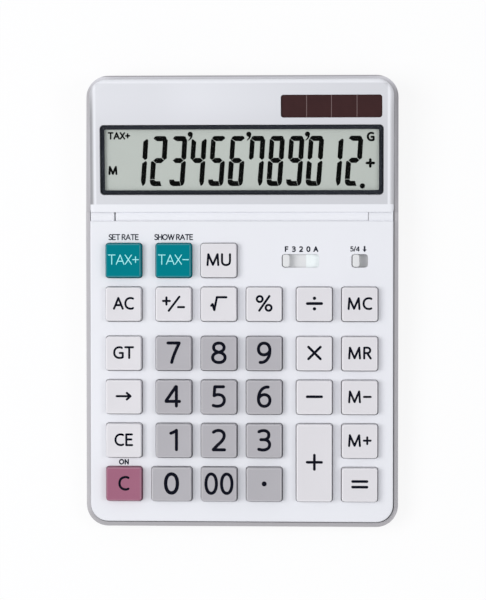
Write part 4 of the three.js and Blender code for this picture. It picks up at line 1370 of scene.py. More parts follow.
@dataclass(frozen=True)
class Legend:
    """Words or a sign in one size, in mm. Its height is over all."""

    text: tuple[str, ...]
    height: float
    pen: float
    gap: float = 0.9

    def glyphs(self, x: float, y: float) -> Glyphs:
        """Draws the legend about a middle point.

        Args:
            x: The middle along x, in mm.
            y: The middle along y.

        Returns:
            The polygons of each of its glyphs.
        """
        glyphs = [GLYPHS[name] for name in self.text]
        body, advance = self.height - self.pen, self.gap + self.pen / 2
        width = sum(share * body for share, _ in glyphs) + advance * (len(glyphs) - 1)
        left, drawn = x - width / 2, []
        for share, strokes in glyphs:
            if strokes:
                drawn.append(Pen(self.pen).draw(strokes, body, Vector((left, y - body / 2))))
            left += share * body + advance
        return drawn


Words = tuple[tuple[str, float, float, float, float, float], ...]


def printed(words: Words) -> Glyphs:
    """Draws words.

    Args:
        words: The text, height, pen, gap and middle of each, in mm.

    Returns:
        The polygons of each of their glyphs.
    """
    drawn: Glyphs = []
    for text, height, pen, gap, x, y in words:
        drawn += Legend(tuple(text), height, pen, gap).glyphs(x, y)
    return drawn


# Keyboard


class Tone(Enum):
    """The colours of the key caps, each with its ink."""

    WHITE = (WHITE_CAP, NAVY_INK)
    GREY = (GREY_CAP, NAVY_INK)
    TEAL = (TEAL_CAP, PALE_INK)
    PINK = (PINK_CAP, NAVY_INK)


def digit(name: str, pen: float = 1.3) -> Legend:
    """A digit in the size of the number keys."""
    return Legend((name,), 9.3, pen)


def digit_keys(digits: str) -> dict[str, tuple[Tone, Legend]]:
    """A row of number keys."""
    return {f"key_{name}": (Tone.GREY, digit(name)) for name in digits}


def word(text: str, gap: float = 0.62) -> Legend:
    """A legend in the size of the function keys."""
    return Legend(tuple(text), 5.3, 0.88, gap)


def sign(name: str, height: float = 7.05, pen: float = 1.12) -> Legend:
    """A legend of one drawn sign."""
    return Legend((name,), height, pen)


KEYS = {
    "key_tax_plus": (Tone.TEAL, Legend(tuple("TAX+"), 4.2, 0.36, 0.32)),
    "key_tax_minus": (Tone.TEAL, Legend(tuple("TAX-"), 4.2, 0.36, 0.32)),
    "key_mark_up": (Tone.WHITE, word("MU", 1.1)),
    "key_clear_all": (Tone.WHITE, word("AC")),
    "key_sign_change": (Tone.WHITE, sign("sign", 6.75, 0.9)),
    "key_square_root": (Tone.WHITE, sign("root", 6.75, 0.95)),
    "key_percent": (Tone.WHITE, sign("percent", 6.8, 0.92)),
    "key_divide": (Tone.WHITE, sign("divide", pen=1.2)),
    "key_memory_clear": (Tone.WHITE, word("MC", 1.25)),
    "key_grand_total": (Tone.WHITE, word("GT")),
    **digit_keys("789"),
    "key_multiply": (Tone.WHITE, sign("multiply", 6.0, 1.06)),
    "key_memory_recall": (Tone.WHITE, word("MR", 1.3)),
    "key_backspace": (Tone.WHITE, sign("arrow", 6.75, 0.92)),
    **digit_keys("456"),
    "key_minus": (Tone.WHITE, sign("subtract")),
    "key_memory_minus": (Tone.WHITE, word("M-", 1.2)),
    "key_clear_entry": (Tone.WHITE, word("CE", 0.85)),
    **digit_keys("123"),
    "key_plus": (Tone.WHITE, sign("add")),
    "key_memory_plus": (Tone.WHITE, word("M+", 1.2)),
    "key_on_clear": (Tone.PINK, Legend(("C",), 6.1, 0.98)),
    "key_0": (Tone.GREY, digit("0", 1.46)),
    "key_00": (Tone.GREY, Legend(("narrow_0", "narrow_0"), 9.3, 1.3, 1.45)),
    "key_decimal_point": (Tone.GREY, sign(".", 6.3, 0.01)),
    "key_equals": (Tone.WHITE, sign("equals")),
}


@dataclass
class KeyCaps:
    """The 32 travelling key caps with their printed legends."""

    flange_overhang: float = 0.9
    flange_low: float = -3.3
    flange_high: float = -2.3
    post_low: float = -2.05
    post_size: float = 4.4
    post_radius: float = 0.4
    top: float = 3.2
    corner_radius: float = 1.3
    corner_steps: int = 6
    side_cuts: int = 7
    side_inset: float = 0.3
    edge_radius: float = 0.42
    dish: float = 0.2
    wall: float = 1.2
    roof: float = 1.3
    print_height: float = 0.012
    print_depth: float = 0.06
    dish_shares: tuple[float, ...] = (0.975, 0.9, 0.8, 0.68, 0.52, 0.34, 0.14)
    legend_x: float = 0.1
    legend_y: float = 0.35

    def base(self, node: str) -> Outline:
        """Works out a cap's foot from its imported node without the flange.

        Args:
            node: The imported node's name.

        Returns:
            The foot's outline.
        """
        radius = self.corner_radius
        outer = Outline.spanning(DECK.extent(node), radius, self.corner_steps, self.side_cuts)
        return outer.grown(-self.flange_overhang).rounded(radius)

    def dished(self, rim: Outline, x: float, y: float) -> float:
        """How far the top lies under its rim at a point.

        Args:
            rim: The outline where the dish begins.
            x: The point along x, in mm.
            y: The point along y.

        Returns:
            The depth as a negative height, in mm.
        """
        middle = rim.middle
        across = min(abs(x - middle.x) / (rim.right - middle.x), 1)
        along = min(abs(y - middle.y) / (rim.rear - middle.y), 1)
        return -self.dish * (1 - across**2) * (1 - along**2)

    def build_cap(self, node: str, colour: Tone) -> Outline:
        """Builds a hollow cap with its flange, drafted sides, rounded edge, dished top and post.

        Args:
            node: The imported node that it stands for.
            colour: Its colour.

        Returns:
            The outline where its dish begins.
        """
        base = self.base(node)
        flange, hollow = base.grown(self.flange_overhang), base.grown(-self.wall)
        edge = rolled(base.grown(-self.side_inset), self.top, self.edge_radius, steps=4)
        rim, roof = edge[-1][0], self.top - self.roof
        x, y, _ = rim.middle
        post = Outline.centred(x, y, self.post_size, self.post_size, self.post_radius, steps=3)
        form = Form()
        inner, centre = form.skin([
            (hollow.grown(-self.side_inset), roof), (hollow, self.flange_low),
            (flange, self.flange_low), (flange, self.flange_high), (base, self.flange_high), *edge,
            *((rim.shrunk(share), self.top) for share in self.dish_shares),
        ])
        form.fill(centre)
        post_top, post_end = form.skin([(post, roof), (post, self.post_low)])
        form.fill(inner, post_top)
        form.fill(post_end)
        inside = rim.grown(-SMALLEST_RADIUS)
        # Marks the rounded top edge that gets the painted highlight.
        highlight_layer = form.mesh.verts.layers.float.new(HIGHLIGHT_ATTRIBUTE)
        for vertex in form.mesh.verts:
            x, y, z = vertex.co
            within = inside.left < x < inside.right and inside.front < y < inside.rear
            vertex[highlight_layer] = float(z > self.top - self.edge_radius / 2 and not within)
            if z > self.top - TINY:
                vertex.co.z += self.dished(rim, x, y)
        form.dress(f"{node}_cap", DECK, node, colour.value[0], node)
        return rim

    def build(self) -> None:
        """Builds every cap and prints its legend so that it follows the dish."""
        for node, (colour, legend) in KEYS.items():
            rim = self.build_cap(node, colour)
            drawn = legend.glyphs(rim.middle.x + self.legend_x, rim.middle.y + self.legend_y)
            form = Form().sheet(drawn, self.top - self.print_depth, self.top + self.print_height)
            for vertex in form.mesh.verts:
                vertex.co.z += self.dished(rim, vertex.co.x, vertex.co.y)
            form.dress(f"{node}_legend", DECK, node, colour.value[1])


@dataclass
class Selectors:
    """The two slide selectors, each a knob on a plate that closes its slot."""

    knob_width: float = 2.9
    knob_depth: float = 5.15
    knob_top: float = 1.1
    knob_radius: float = 1.0
    knob_edge: float = 0.35
    knob_y: float = -18.12
    plate_thickness: float = 0.6
    plate_radius: float = 0.3
    knobs: tuple[tuple[str, float, float, Finish], ...] = (
        ("decimal_selector", 18.4, -2.3, SLIDER_PAINTED_LIGHT),
        ("rounding_selector", 47.075, -3.2, WHITE_KNOB),
    )

    def build(self) -> None:
        """Builds both selectors from their packed plates, each with its knob's x and its top."""
        for node, x, top, finish in self.knobs:
            plate = Outline.spanning(DECK.extent(node), self.plate_radius, steps=2)
            knob = Outline.centred(
                x, self.knob_y, self.knob_width, self.knob_depth, self.knob_radius, steps=6
            )
            form = Form()
            under, over = form.skin([(plate, top - self.plate_thickness), (plate, top)])
            dome = rolled(knob, self.knob_top, self.knob_edge, steps=4)
            root, crown = form.skin([(knob, top), *dome])
            for loops in ((under,), (over, root), (crown,)):
                form.fill(*loops)
            form.dress(f"{node}_knob", DECK, node, finish, node)


@dataclass
class KeyboardCover:
    """The white cover with its key windows, slots, knuckles and small deck prints."""

    half_width: float = 62.6
    groove: float = 0.15
    corner_radius: float = 7.1
    rear: float = -1.7
    thickness: float = 2.0
    skirt_depth: float = 5.0
    skirt_wall: float = 1.6
    edge_radius: float = 0.7
    rear_edge: float = 0.25
    window_gap: float = 0.055
    shaded_gap: float = 0.16
    gap_growth: float = 0.035
    window_edge: float = 0.06
    window_radius: float = 1.38
    knuckle_starts: tuple[float, float] = (-52.6, 52.25)
    knuckle_radius: float = 5.0
    knuckle_edge: float = 0.2
    slot_y: float = -18.2
    slot_depth: float = 5.55
    slot_radius: float = 1.3
    slots: tuple[tuple[float, float], ...] = ((16.6, 31.9), (45.275, 51.975))
    print_height: float = 0.012
    print_depth: float = 0.05
    prints: Words = (
        ("SET RATE", 2.5, 0.42, 0.14, -48.72, -8.42),
        ("SHOW RATE", 2.5, 0.46, 0.14, -28.0, -8.42),
        ("ON", 2.35, 0.54, 0.4, -48.83, -101.4),
        ("F", 2.4, 0.54, 0, 18.56, -13.38),
        ("3", 2.4, 0.54, 0, 21.56, -13.38),
        ("2", 2.4, 0.54, 0, 24.52, -13.38),
        ("0", 2.4, 0.54, 0, 27.52, -13.38),
        ("A", 2.4, 0.54, 0, 30.57, -13.38),
        ("5/4", 2.15, 0.42, 0.14, 46.74, -13.3),
    )
    arrow_place: tuple[float, float] = (50.6, -13.35)
    arrow: tuple[tuple[tuple[float, float], ...], ...] = (
        ((-0.35, 1.25), (-0.35, -0.2), (0.35, -0.2), (0.35, 1.25)),
        ((-0.85, -0.15), (0, -1.25), (0.85, -0.15)),
    )

    def holes(self, caps: KeyCaps) -> list[Outline]:
        """Works out the openings for the keys and the selectors.

        Args:
            caps: The key caps that the windows are cut for.

        Returns:
            The outline of each opening.
        """
        windows = []
        for node in KEYS:
            base = caps.base(node)
            left_gap = self.window_gap * (1 + self.gap_growth * max(base.middle.x, 0))
            windows.append(Outline(
                base.left - left_gap, base.right + self.shaded_gap,
                base.front - self.shaded_gap, base.rear + self.window_gap,
                self.window_radius, self.window_radius, steps=5,
            ))
        front, rear = self.slot_y - self.slot_depth / 2, self.slot_y + self.slot_depth / 2
        return windows + [
            Outline(left, right, front, rear, self.slot_radius, self.slot_radius, steps=5)
            for left, right in self.slots
        ]

    def build(self, caps: KeyCaps) -> None:
        """Builds the cover and its prints.

        Args:
            caps: The key caps that its windows are cut for.
        """
        front = DECK.extent("top_cover")[0].y + self.groove
        right = self.half_width - self.groove
        outer = Outline(
            -self.half_width, right, front, self.rear, self.corner_radius, self.rear_edge, steps=10
        )
        inner = outer.grown(-self.skirt_wall)
        form = Form().shell(
            [(inner, -self.thickness), (inner, -self.skirt_depth), (outer, -self.skirt_depth),
             *rolled(outer, 0, self.edge_radius, steps=5)],
            [[*opened(hole, self.window_edge), (hole, -self.thickness)] for hole in self.holes(caps)],
        )
        form.combine(Form().rod(self.knuckle_radius + CLEARANCE, *self.knuckle_starts), Join.CUT)
        knuckles = Form()
        for start in self.knuckle_starts:
            ends = sorted((start, math.copysign(right - SMALLEST_RADIUS, start)))
            knuckles.rod(self.knuckle_radius, *ends, self.knuckle_edge)
        form.combine(knuckles, Join.ADD)
        form.dress("keyboard_cover", DECK, Body.CASE.value, WHITE_SHELL, "top_cover")
        x, y = self.arrow_place
        arrow = [[Vector((x + dx, y + dy)) for dx, dy in points] for points in self.arrow]
        form = Form().sheet([*printed(self.prints), arrow], -self.print_depth, self.print_height)
        form.dress("deck_prints", DECK, Body.CASE.value, SLATE_INK)


# Display head


# The segments by their usual letters: a is the top, b to f go round clockwise, g is the middle.
SEGMENT_SHAPES: dict[str, tuple[tuple[float, float], ...]] = {
    "a": ((23, 1152), (50, 1190), (80, 1209), (290, 1209), (322, 1190), (338, 1155), (262, 1094),
          (122, 1094)),
    "f": ((8, 1122), (24, 1135), (111, 1070), (111, 690), (52, 636), (8, 668)),
    "b": ((257, 1080), (340, 1142), (365, 1118), (369, 672), (321, 636), (260, 690)),
    "g": ((54, 619), (122, 676), (243, 676), (311, 618), (243, 561), (124, 561)),
    "e": ((0, 588), (28, 604), (111, 546), (109, 166), (0, 166)),
    "c": ((263, 550), (342, 606), (368, 582), (366, 110), (354, 58), (328, 20), (300, 3), (259, 125)),
    "d": ((0, 150), (108, 150), (114, 126), (138, 112), (244, 112), (284, 0), (108, 0), (62, 12),
          (26, 42), (6, 88)),
}
LIT_SEGMENTS = {
    "0": "adfbec", "1": "bc", "2": "abged", "3": "abgcd", "4": "fgbc",
    "5": "afgcd", "6": "afgecd", "7": "fabc", "8": "agdfbec", "9": "afbgcd",
}


@dataclass
class Readout:
    """The dark segments and signs that the display shows."""

    number: str = "123456789012"
    first_x: float = -46.12
    base_y: float = 7.62
    pitch: float = 8.043
    height: float = 20.45
    units_high: float = 1209
    slant: float = 0.072
    bleed: float = 0.2
    level: float = -2.7
    thickness: float = 0.03
    mark_after: tuple[int, ...] = (3, 6, 9)
    mark_x: float = 0.85
    mark_rise: float = 21.25
    mark_radius: float = 1.06
    mark_tail: tuple[tuple[float, float], ...] = (
        (0.98, 0.0), (0.85, -0.95), (0.3, -1.85), (-0.75, -2.6), (-0.8, -2.3), (-0.05, -1.3),
        (0.0, -0.4),
    )
    dot_x: float = 49.68
    dot_drop: float = 0.1
    dot_radius: float = 1.1
    signs: Words = (
        ("TAX+", 3.1, 0.65, 0.25, -50.6, 28.3),
        ("M", 3.75, 0.86, 0.25, -53.26, 14.05),
        ("G", 3.9, 0.9, 0.25, 53.06, 27.8),
        ("+", 5.7, 1.08, 0.25, 52.9, 16.95),
    )

    def segments(self, index: int, character: str) -> Glyphs:
        """The lit segments of one digit.

        Args:
            index: Its place from the left.
            character: The digit.

        Returns:
            Each segment's polygon, slanted as the display's digits are.
        """
        unit, left = self.height / self.units_high, self.first_x + index * self.pitch
        drawn = []
        for letter in LIT_SEGMENTS[character]:
            outline = [
                Vector((left + (x + y * self.slant) * unit, self.base_y + y * unit))
                for x, y in SEGMENT_SHAPES[letter]
            ]
            drawn.append([outline, *Pen(self.bleed).ribbon(outline, closed=True)])
        return drawn

    def mark(self, index: int) -> list[Polygon]:
        """Draws a thousands mark: a round head with a tail to its lower left.

        Args:
            index: Which digit it stands before, counted from the left.

        Returns:
            Its polygons.
        """
        x = self.first_x + index * self.pitch + self.mark_x
        middle, radius = Vector((x, self.base_y + self.mark_rise)), self.mark_radius
        tail = [middle + radius * Vector(point) for point in self.mark_tail]
        return [Pen(0).disc(middle, radius), tail]

    def build(self) -> None:
        """Builds the digits, marks and signs."""
        dot = Pen(0).disc(Vector((self.dot_x, self.base_y - self.dot_drop)), self.dot_radius)
        shown = {
            **{f"digit_{index + 1}": self.segments(index, character)
               for index, character in enumerate(self.number)},
            "number_marks": [*(self.mark(index) for index in self.mark_after), [dot]],
            "display_signs": printed(self.signs),
        }
        for name, glyphs in shown.items():
            form = Form().sheet(glyphs, self.level - self.thickness, self.level + self.thickness)
            form.dress(name, FACE, Body.HEAD.value, SEGMENT_BLACK)


@dataclass
class DisplayHead:
    """The tilting head: its front shell and barrel, rear pan, window, glass and solar cell."""

    half_width: float = 62.6
    rear_radius: float = 7.1
    lip_front: float = 1.7
    lip_edge: float = 0.25
    edge_radius: float = 1.6
    plate: float = 2.4
    wall: float = 1.6
    parting: float = 6.0
    thickness: float = 10.0
    back: float = 1.6
    pan_radius: float = 2.4
    pan_drafts: tuple[float, float] = (0.6, 0.4)
    barrel_radius: float = 5.0
    barrel_half: float = 52.1
    barrel_edge: float = 0.2
    window_radius: float = 1.6
    window_border: float = 1.8
    window_gap: float = 0.12
    light_radius: float = 0.5
    sheet_edge: float = 0.12
    frame_thickness: float = 0.06
    opening_border: float = 1.5
    opening_edge: float = 0.15
    solar_radius: float = 1.1
    solar_lip: float = 0.6
    solar_edge: float = 0.12
    solar_margin: float = 1.1
    bed_depth: float = 0.08
    bed_edge: float = 0.05
    strip_gap: float = 0.22
    strip_sink: float = 0.02
    strip_inset: float = 0.05
    strip_radius: float = 0.2
    strip_edge: float = 0.03
    strip_shares: tuple[float, ...] = (0, 0.254, 0.499, 0.751, 1)

    def __post_init__(self) -> None:
        """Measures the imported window, solar cell and shell on the face."""
        corners = FACE.extent("display_window")
        self.window = Outline.spanning(corners, self.window_radius, steps=8)
        self.window_low, self.window_high = corners[0].z, corners[1].z
        corners = FACE.extent("solar_cell")
        self.cell = Outline.spanning(corners, self.solar_radius, steps=5)
        self.cell_low, self.cell_high = corners[0].z, corners[1].z
        corners = FACE.extent("display_rear_cover")
        self.front, self.rear = corners[0].y, corners[1].y

    def fold(self, form: Form) -> None:
        """Folds the flat shell at the crease and moves it onto the deck's datum.

        Args:
            form: The shell, drawn flat on the face with the lip in front of zero.
        """
        everything = [*form.mesh.verts, *form.mesh.edges, *form.mesh.faces]
        bmesh.ops.bisect_plane(
            form.mesh, geom=everything, dist=COINCIDENT, plane_co=(0, 0, 0), plane_no=(0, 1, 0)
        )
        move = Matrix.Translation((0, CREASE_FROM_HINGE, 0))
        for vertex in form.mesh.verts:
            share = 0.5 if abs(vertex.co.y) < TINY else float(vertex.co.y > 0)
            vertex.co = move @ Matrix.Rotation(FACE_SLOPE * share, 4, "X") @ vertex.co

    def build_front(self) -> None:
        """Builds the front shell with its rolled edge, openings, crease, lip and barrel."""
        outer = Outline(
            -self.half_width, self.half_width, self.lip_front - CREASE_FROM_HINGE, self.rear,
            self.lip_edge, self.rear_radius, steps=10,
        )
        inner = outer.grown(-self.wall)
        roll = [
            (outer.grown(-self.edge_radius * cos, -self.lip_edge * cos), -self.edge_radius * sin)
            for cos, sin in quarter(steps=7)
        ]
        pocket, opening = self.window.grown(self.window_gap), self.window.grown(-self.opening_border)
        floor = self.window_low - CLEARANCE
        slit = self.cell.grown(-self.solar_margin).rounded(self.solar_radius)
        bed = self.cell.grown(CLEARANCE)
        form = Form().shell(
            [(inner, -self.plate), (inner, -self.parting), (outer, -self.parting), *roll],
            [[*opened(pocket, self.opening_edge), (pocket, floor), (opening, floor),
              (opening, -self.plate)],
             [*opened(slit, self.solar_edge), (slit, -self.solar_lip), (bed, -self.solar_lip),
              (bed, -self.plate)]],
        )
        self.fold(form)
        rooms = Form()
        for side in (-1, 1):
            ends = sorted((side * self.barrel_half, side * (self.half_width + OVERRUN)))
            rooms.rod(self.barrel_radius + CLEARANCE, *ends)
        form.combine(rooms, Join.CUT)
        barrel = Form().rod(self.barrel_radius, -self.barrel_half, self.barrel_half, self.barrel_edge)
        form.combine(barrel, Join.ADD)
        form.dress("display_shell", DECK, Body.HEAD.value, FACE_SHELL_PAINTED_SHADE, "display_front_cover")

    def build_rear(self) -> None:
        """Builds the grey pan that closes the head from below."""
        low, high = -self.thickness, -self.parting - CLEARANCE
        outer = Outline(
            -self.half_width, self.half_width, self.front, self.rear,
            self.pan_radius, self.rear_radius, steps=10,
        )
        foot = outer.grown(*(-draft for draft in self.pan_drafts))
        Form().solid([
            *footed(foot, low, self.wall / 2, steps=5), (outer, high),
            (outer.grown(-self.wall), high), (foot.grown(-self.wall), low + self.back),
        ]).dress("display_pan", FACE, Body.HEAD.value, GREY_PAN, "display_rear_cover")

    def build_window(self) -> None:
        """Builds the window as a clear sheet with a dark frame printed on its underside."""
        light = self.window.grown(-self.window_border).rounded(self.light_radius)
        low, inked = self.window_low, self.window_low + self.frame_thickness
        form = Form()
        form.skin(
            [(light, low), (self.window, low), (self.window, inked), (light, inked)], closed=True
        )
        form.dress("window_frame", FACE, Body.HEAD.value, FRAME_BLACK, "display_window")
        form = Form().plate(self.window, inked, self.window_high, self.sheet_edge)
        form.dress("window_sheet", FACE, Body.HEAD.value, WINDOW_CLEAR, "display_window")

    def build_solar_cell(self) -> None:
        """Builds the solar cell: a bed that carries four dark strips with thin gaps between them."""
        bed_top = self.cell_high - self.bed_depth
        form = Form().plate(self.cell, self.cell_low, bed_top, self.bed_edge)
        form.dress("solar_bed", FACE, Body.HEAD.value, SOLAR_BED, "solar_cell")
        seen = self.cell.grown(-self.solar_margin)
        width, half_gap = seen.right - seen.left, self.strip_gap / 2
        form = Form()
        for start, end in zip(self.strip_shares, self.strip_shares[1:]):
            left = self.cell.left if start == 0 else seen.left + width * start + half_gap
            right = self.cell.right if end == 1 else seen.left + width * end - half_gap
            strip = replace(self.cell, left=left, right=right, steps=3).rounded(self.strip_radius)
            low = bed_top - self.strip_sink
            form.plate(strip.grown(-self.strip_inset), low, self.cell_high, self.strip_edge)
        form.dress("solar_strips", FACE, Body.HEAD.value, SOLAR_BROWN, "solar_cell")

    def build(self) -> None:
        """Builds the head's visible pieces and finishes its glass."""
        self.build_front()
        self.build_rear()
        self.build_window()
        self.build_solar_cell()
        refinish("display_glass", DISPLAY_GREY)
        Readout().build()


# Case


@dataclass
class TrayCase:
    """The grey tray with its stepped rim, shelf, ribs and battery bay, its feet, screws and door."""

    width: float = 129.0
    depth: float = 186.5
    corner_radius: float = 9.0
    wall: float = 1.7
    underside: float = 1.0
    floor: float = 1.8
    edge_radius: float = 2.4
    floor_edge: float = 0.8
    rim_below_deck: float = 2.2
    rim_behind: float = 13.9
    step_from_hinge: float = 1.7
    tall: float = 26.0
    head_thickness: float = 10.0
    shelf_thickness: float = 1.5
    shelf_below_head: float = 0.8
    shelf_from_hinge: float = 7.5
    rib_x: float = 40.0
    rib_width: float = 1.4
    rib_inset: float = 0.2
    bay_wall: float = 1.6
    bay_height: float = 4.1
    bay_radii: tuple[float, float] = (1.0, 1.8)
    recess_clearance: float = 0.3
    foot_recess: float = 0.6
    foot_rings: tuple[tuple[float, float], ...] = (
        (2.1, 0.25), (1.9, 0.06), (1.7, 0.0), (0.5, 0.0), (0.2, 0.08), (0.05, 0.25), (0.0, 0.5),
    )
    screw_rings: tuple[tuple[float, float], ...] = (
        (0.9, 0.0), (0.45, 0.15), (0.1, 0.5), (0.0, 0.9), (0.0, 1.4),
    )
    shank_radius: float = 1.1
    shank_tip: tuple[float, float] = (0.7, 0.8)
    cross: tuple[tuple[float, float], ...] = ((2.5, 0.55), (0.55, 2.5))
    cross_radius: float = 0.1
    cross_rings: tuple[tuple[float, float], ...] = ((0.0, -OVERRUN), (0.0, 0.2), (0.08, 0.9))
    door_thickness: float = 1.4
    door_radius: float = 1.5
    door_edge: float = 0.2
    grip_size: tuple[float, float] = (8.0, 0.8)
    grip_pitch: float = 1.6
    grip_depth: float = 0.5
    grip_radius: float = 0.35
    grip_flare: float = 0.1
    grip_count: int = 3
    tab_x: tuple[float, float] = (-7.0, 7.0)
    tab_half: float = 2.0
    tab_root: float = 2.4
    tab_neck: float = 0.9
    tab_sink: float = 0.3
    tab_crest: float = 1.5
    tab_thickness: float = 0.9
    easing: float = 0.3

    def __post_init__(self) -> None:
        """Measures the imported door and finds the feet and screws."""
        low, high = TABLE.extent("battery_door")
        self.door_half = (high.x - low.x) / 2
        self.door_front = low.y
        self.door_y = low.y + self.door_half
        names = sorted(frame["nodes"])
        self.feet = [name for name in names if name.startswith("foot_")]
        self.screws = [name for name in names if name.startswith("case_screw_")]
        self.bay = self.door_half + self.recess_clearance
        self.floor_top = self.underside + self.floor
        self.shelf_y = (HINGE.y + self.shelf_from_hinge, self.depth / 2 - self.wall / 2)

    def head_underside(self, y: float) -> float:
        """Height of the head's underside over a place on the table."""
        return FACE.height(y, self.head_thickness)

    def shelf_top(self, y: float) -> float:
        """Height of the shelf's top."""
        return self.head_underside(y) - self.shelf_below_head

    def tub(self, outline: Outline) -> Form:
        """Builds the tray's floor and wall, before its rim is cut.

        Args:
            outline: The tray's outline.

        Returns:
            The tray so far.
        """
        form = Form().solid([
            *footed(outline, self.underside, self.edge_radius, steps=6), (outline, self.tall),
        ])
        room, top = outline.grown(-self.wall), self.floor_top
        form.combine(Form().solid([
            (room.grown(-self.floor_edge), top), (room, top + self.floor_edge),
            (room, self.tall + OVERRUN),
        ]), Join.CUT)
        return form

    def add_shelf(self, form: Form, outline: Outline) -> None:
        """Adds the shelf under the head and the two ribs on it.

        Args:
            form: The tray so far.
            outline: The tray's outline.
        """
        (start, rear), thick = self.shelf_y, self.shelf_thickness
        half = self.width / 2 - self.wall / 2
        shelf = Form().prism([
            (start, self.shelf_top(start) - thick), (rear, self.shelf_top(rear) - thick),
            (rear, self.shelf_top(rear)), (start, self.shelf_top(start)),
        ], -half, half)
        within = outline.grown(-self.wall / 2)
        shelf.combine(Form().plate(within, 0, self.tall), Join.SHARE)
        form.combine(shelf, Join.ADD)
        ribs, front = Form(), start + self.rib_inset
        for middle in (-self.rib_x, self.rib_x):
            ribs.prism([
                (front, self.shelf_top(start) - thick / 2), (rear, self.shelf_top(rear) - thick / 2),
                (rear, self.head_underside(rear) - CLEARANCE),
                (front, self.head_underside(start) - CLEARANCE),
            ], middle - self.rib_width / 2, middle + self.rib_width / 2)
        form.combine(ribs, Join.ADD)

    def build_tray(self) -> None:
        """Builds the tray with its battery bay, its stepped rim and the pockets under it."""
        outline = Outline.centred(0, 0, self.width, self.depth, self.corner_radius, steps=12)
        form = self.tub(outline)
        self.add_shelf(form, outline)
        side, bay = 2 * (self.bay + self.bay_wall), self.bay
        box = Outline.centred(0, self.door_y, side, side, self.bay_radii[0], steps=3)
        high = self.shelf_top(self.door_y - bay) - self.shelf_thickness / 2
        form.combine(Form().plate(box, self.floor_top - self.floor / 2, high), Join.ADD)
        far, over, step = self.depth, 2 * self.tall, HINGE.y + self.step_from_hinge
        form.combine(Form().prism([
            (-far, DECK.height(-far) - self.rim_below_deck),
            (step, DECK.height(step) - self.rim_below_deck),
            (step, self.rim_behind), (far, self.rim_behind), (far, over), (-far, over),
        ], -self.width, self.width), Join.CUT)
        pockets, low = Form(), self.underside - OVERRUN
        doorway = Outline.centred(0, self.door_y, 2 * bay, 2 * bay, self.bay_radii[1], steps=5)
        pockets.plate(doorway, low, self.floor_top + self.bay_height)
        tops = {node: self.underside + self.foot_recess for node in self.feet}
        tops |= {node: TABLE.extent(node)[0].z + self.screw_rings[-1][1] for node in self.screws}
        for node, top in tops.items():
            pockets.plate(Circle.about(node, sides=40, extra=self.recess_clearance), low, top)
        form.combine(pockets, Join.CUT)
        form.dress(
            "tray_case", TABLE, Body.CASE.value, GREY_TRAY_PAINTED_LIGHT_SHADE, "bottom_case", eased=self.easing
        )

    def build_feet(self) -> None:
        """Builds the four rubber feet, each with a rounded edge and a shallow ring."""
        for node in self.feet:
            shape, high = Circle.about(node, sides=56), TABLE.extent(node)[1].z
            rings = [(shape.grown(-inset), level) for inset, level in self.foot_rings]
            form = Form().solid([*rings, (shape, high)])
            form.dress(f"{node}_pad", TABLE, Body.CASE.value, FOOT_RUBBER, node)

    def build_screws(self) -> None:
        """Builds the four case screws with their cross recess."""
        tip, tip_height = self.shank_tip
        for node in self.screws:
            low, high = (corner.z for corner in TABLE.extent(node))
            head = Circle.about(node, sides=40)
            shank = replace(head, radius=self.shank_radius)
            form = Form().solid([
                *((head.grown(-inset), low + level) for inset, level in self.screw_rings),
                (shank, low + self.screw_rings[-1][1]), (shank, high - tip_height),
                (shank.grown(-tip), high),
            ])
            for size in self.cross:
                slot = Outline.centred(head.x, head.y, *size, self.cross_radius, steps=2)
                rings = [(slot.grown(-inset), low + level) for inset, level in self.cross_rings]
                form.combine(Form().solid(rings), Join.CUT)
            form.dress(f"{node}_steel", TABLE, Body.CASE.value, STEEL, node)

    def build_door(self) -> None:
        """Builds the battery door with its finger grips and hooked tabs."""
        side = 2 * self.door_half
        outline = Outline.centred(0, self.door_y, side, side, self.door_radius, steps=6)
        low, top = self.underside, self.underside + self.door_thickness
        form = Form().solid([
            (outline.grown(-self.door_edge), low), (outline, low + self.door_edge), (outline, top),
        ])
        rear, hook = self.door_y + self.door_half, TABLE.extent("battery_door")[1]
        sunk, under = top - self.tab_sink, hook.z - self.tab_thickness
        profile = [
            (rear - self.tab_root, sunk), (rear - self.tab_neck, sunk), (rear - self.tab_sink, under),
            (hook.y, under), (hook.y, hook.z - self.tab_thickness / 2), (rear - self.tab_crest, hook.z),
        ]
        tabs, grips = Form(), Form()
        for x in self.tab_x:
            tabs.prism(profile, x - self.tab_half, x + self.tab_half)
        form.combine(tabs, Join.ADD)
        for index in range(self.grip_count):
            y = self.door_front + self.grip_pitch * (index + 1)
            slot = Outline.centred(0, y, *self.grip_size, self.grip_radius, steps=4)
            wide = slot.grown(self.grip_flare)
            grips.solid([(wide, low - OVERRUN), (wide, low), (slot, low + self.grip_depth)])
        form.combine(grips, Join.CUT)
        form.dress("battery_door_panel", TABLE, Body.DOOR.value, GREY_TRAY_PAINTED_LIGHT_SHADE, "battery_door")

    def build(self) -> None:
        """Builds the tray and what is fixed to it."""
        self.build_tray()
        self.build_feet()
        self.build_screws()
        self.build_door()


def refinish(node: str, finish: Finish) -> None:
    """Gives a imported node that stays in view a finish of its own.

    Args:
        node: The node's name.
        finish: What its surface looks like.
    """
    for slot in frame["nodes"][node].material_slots:
        slot.material = finish.material()
    LOG.info("%s: kept from the packed model, finished as %s", node, finish.name)


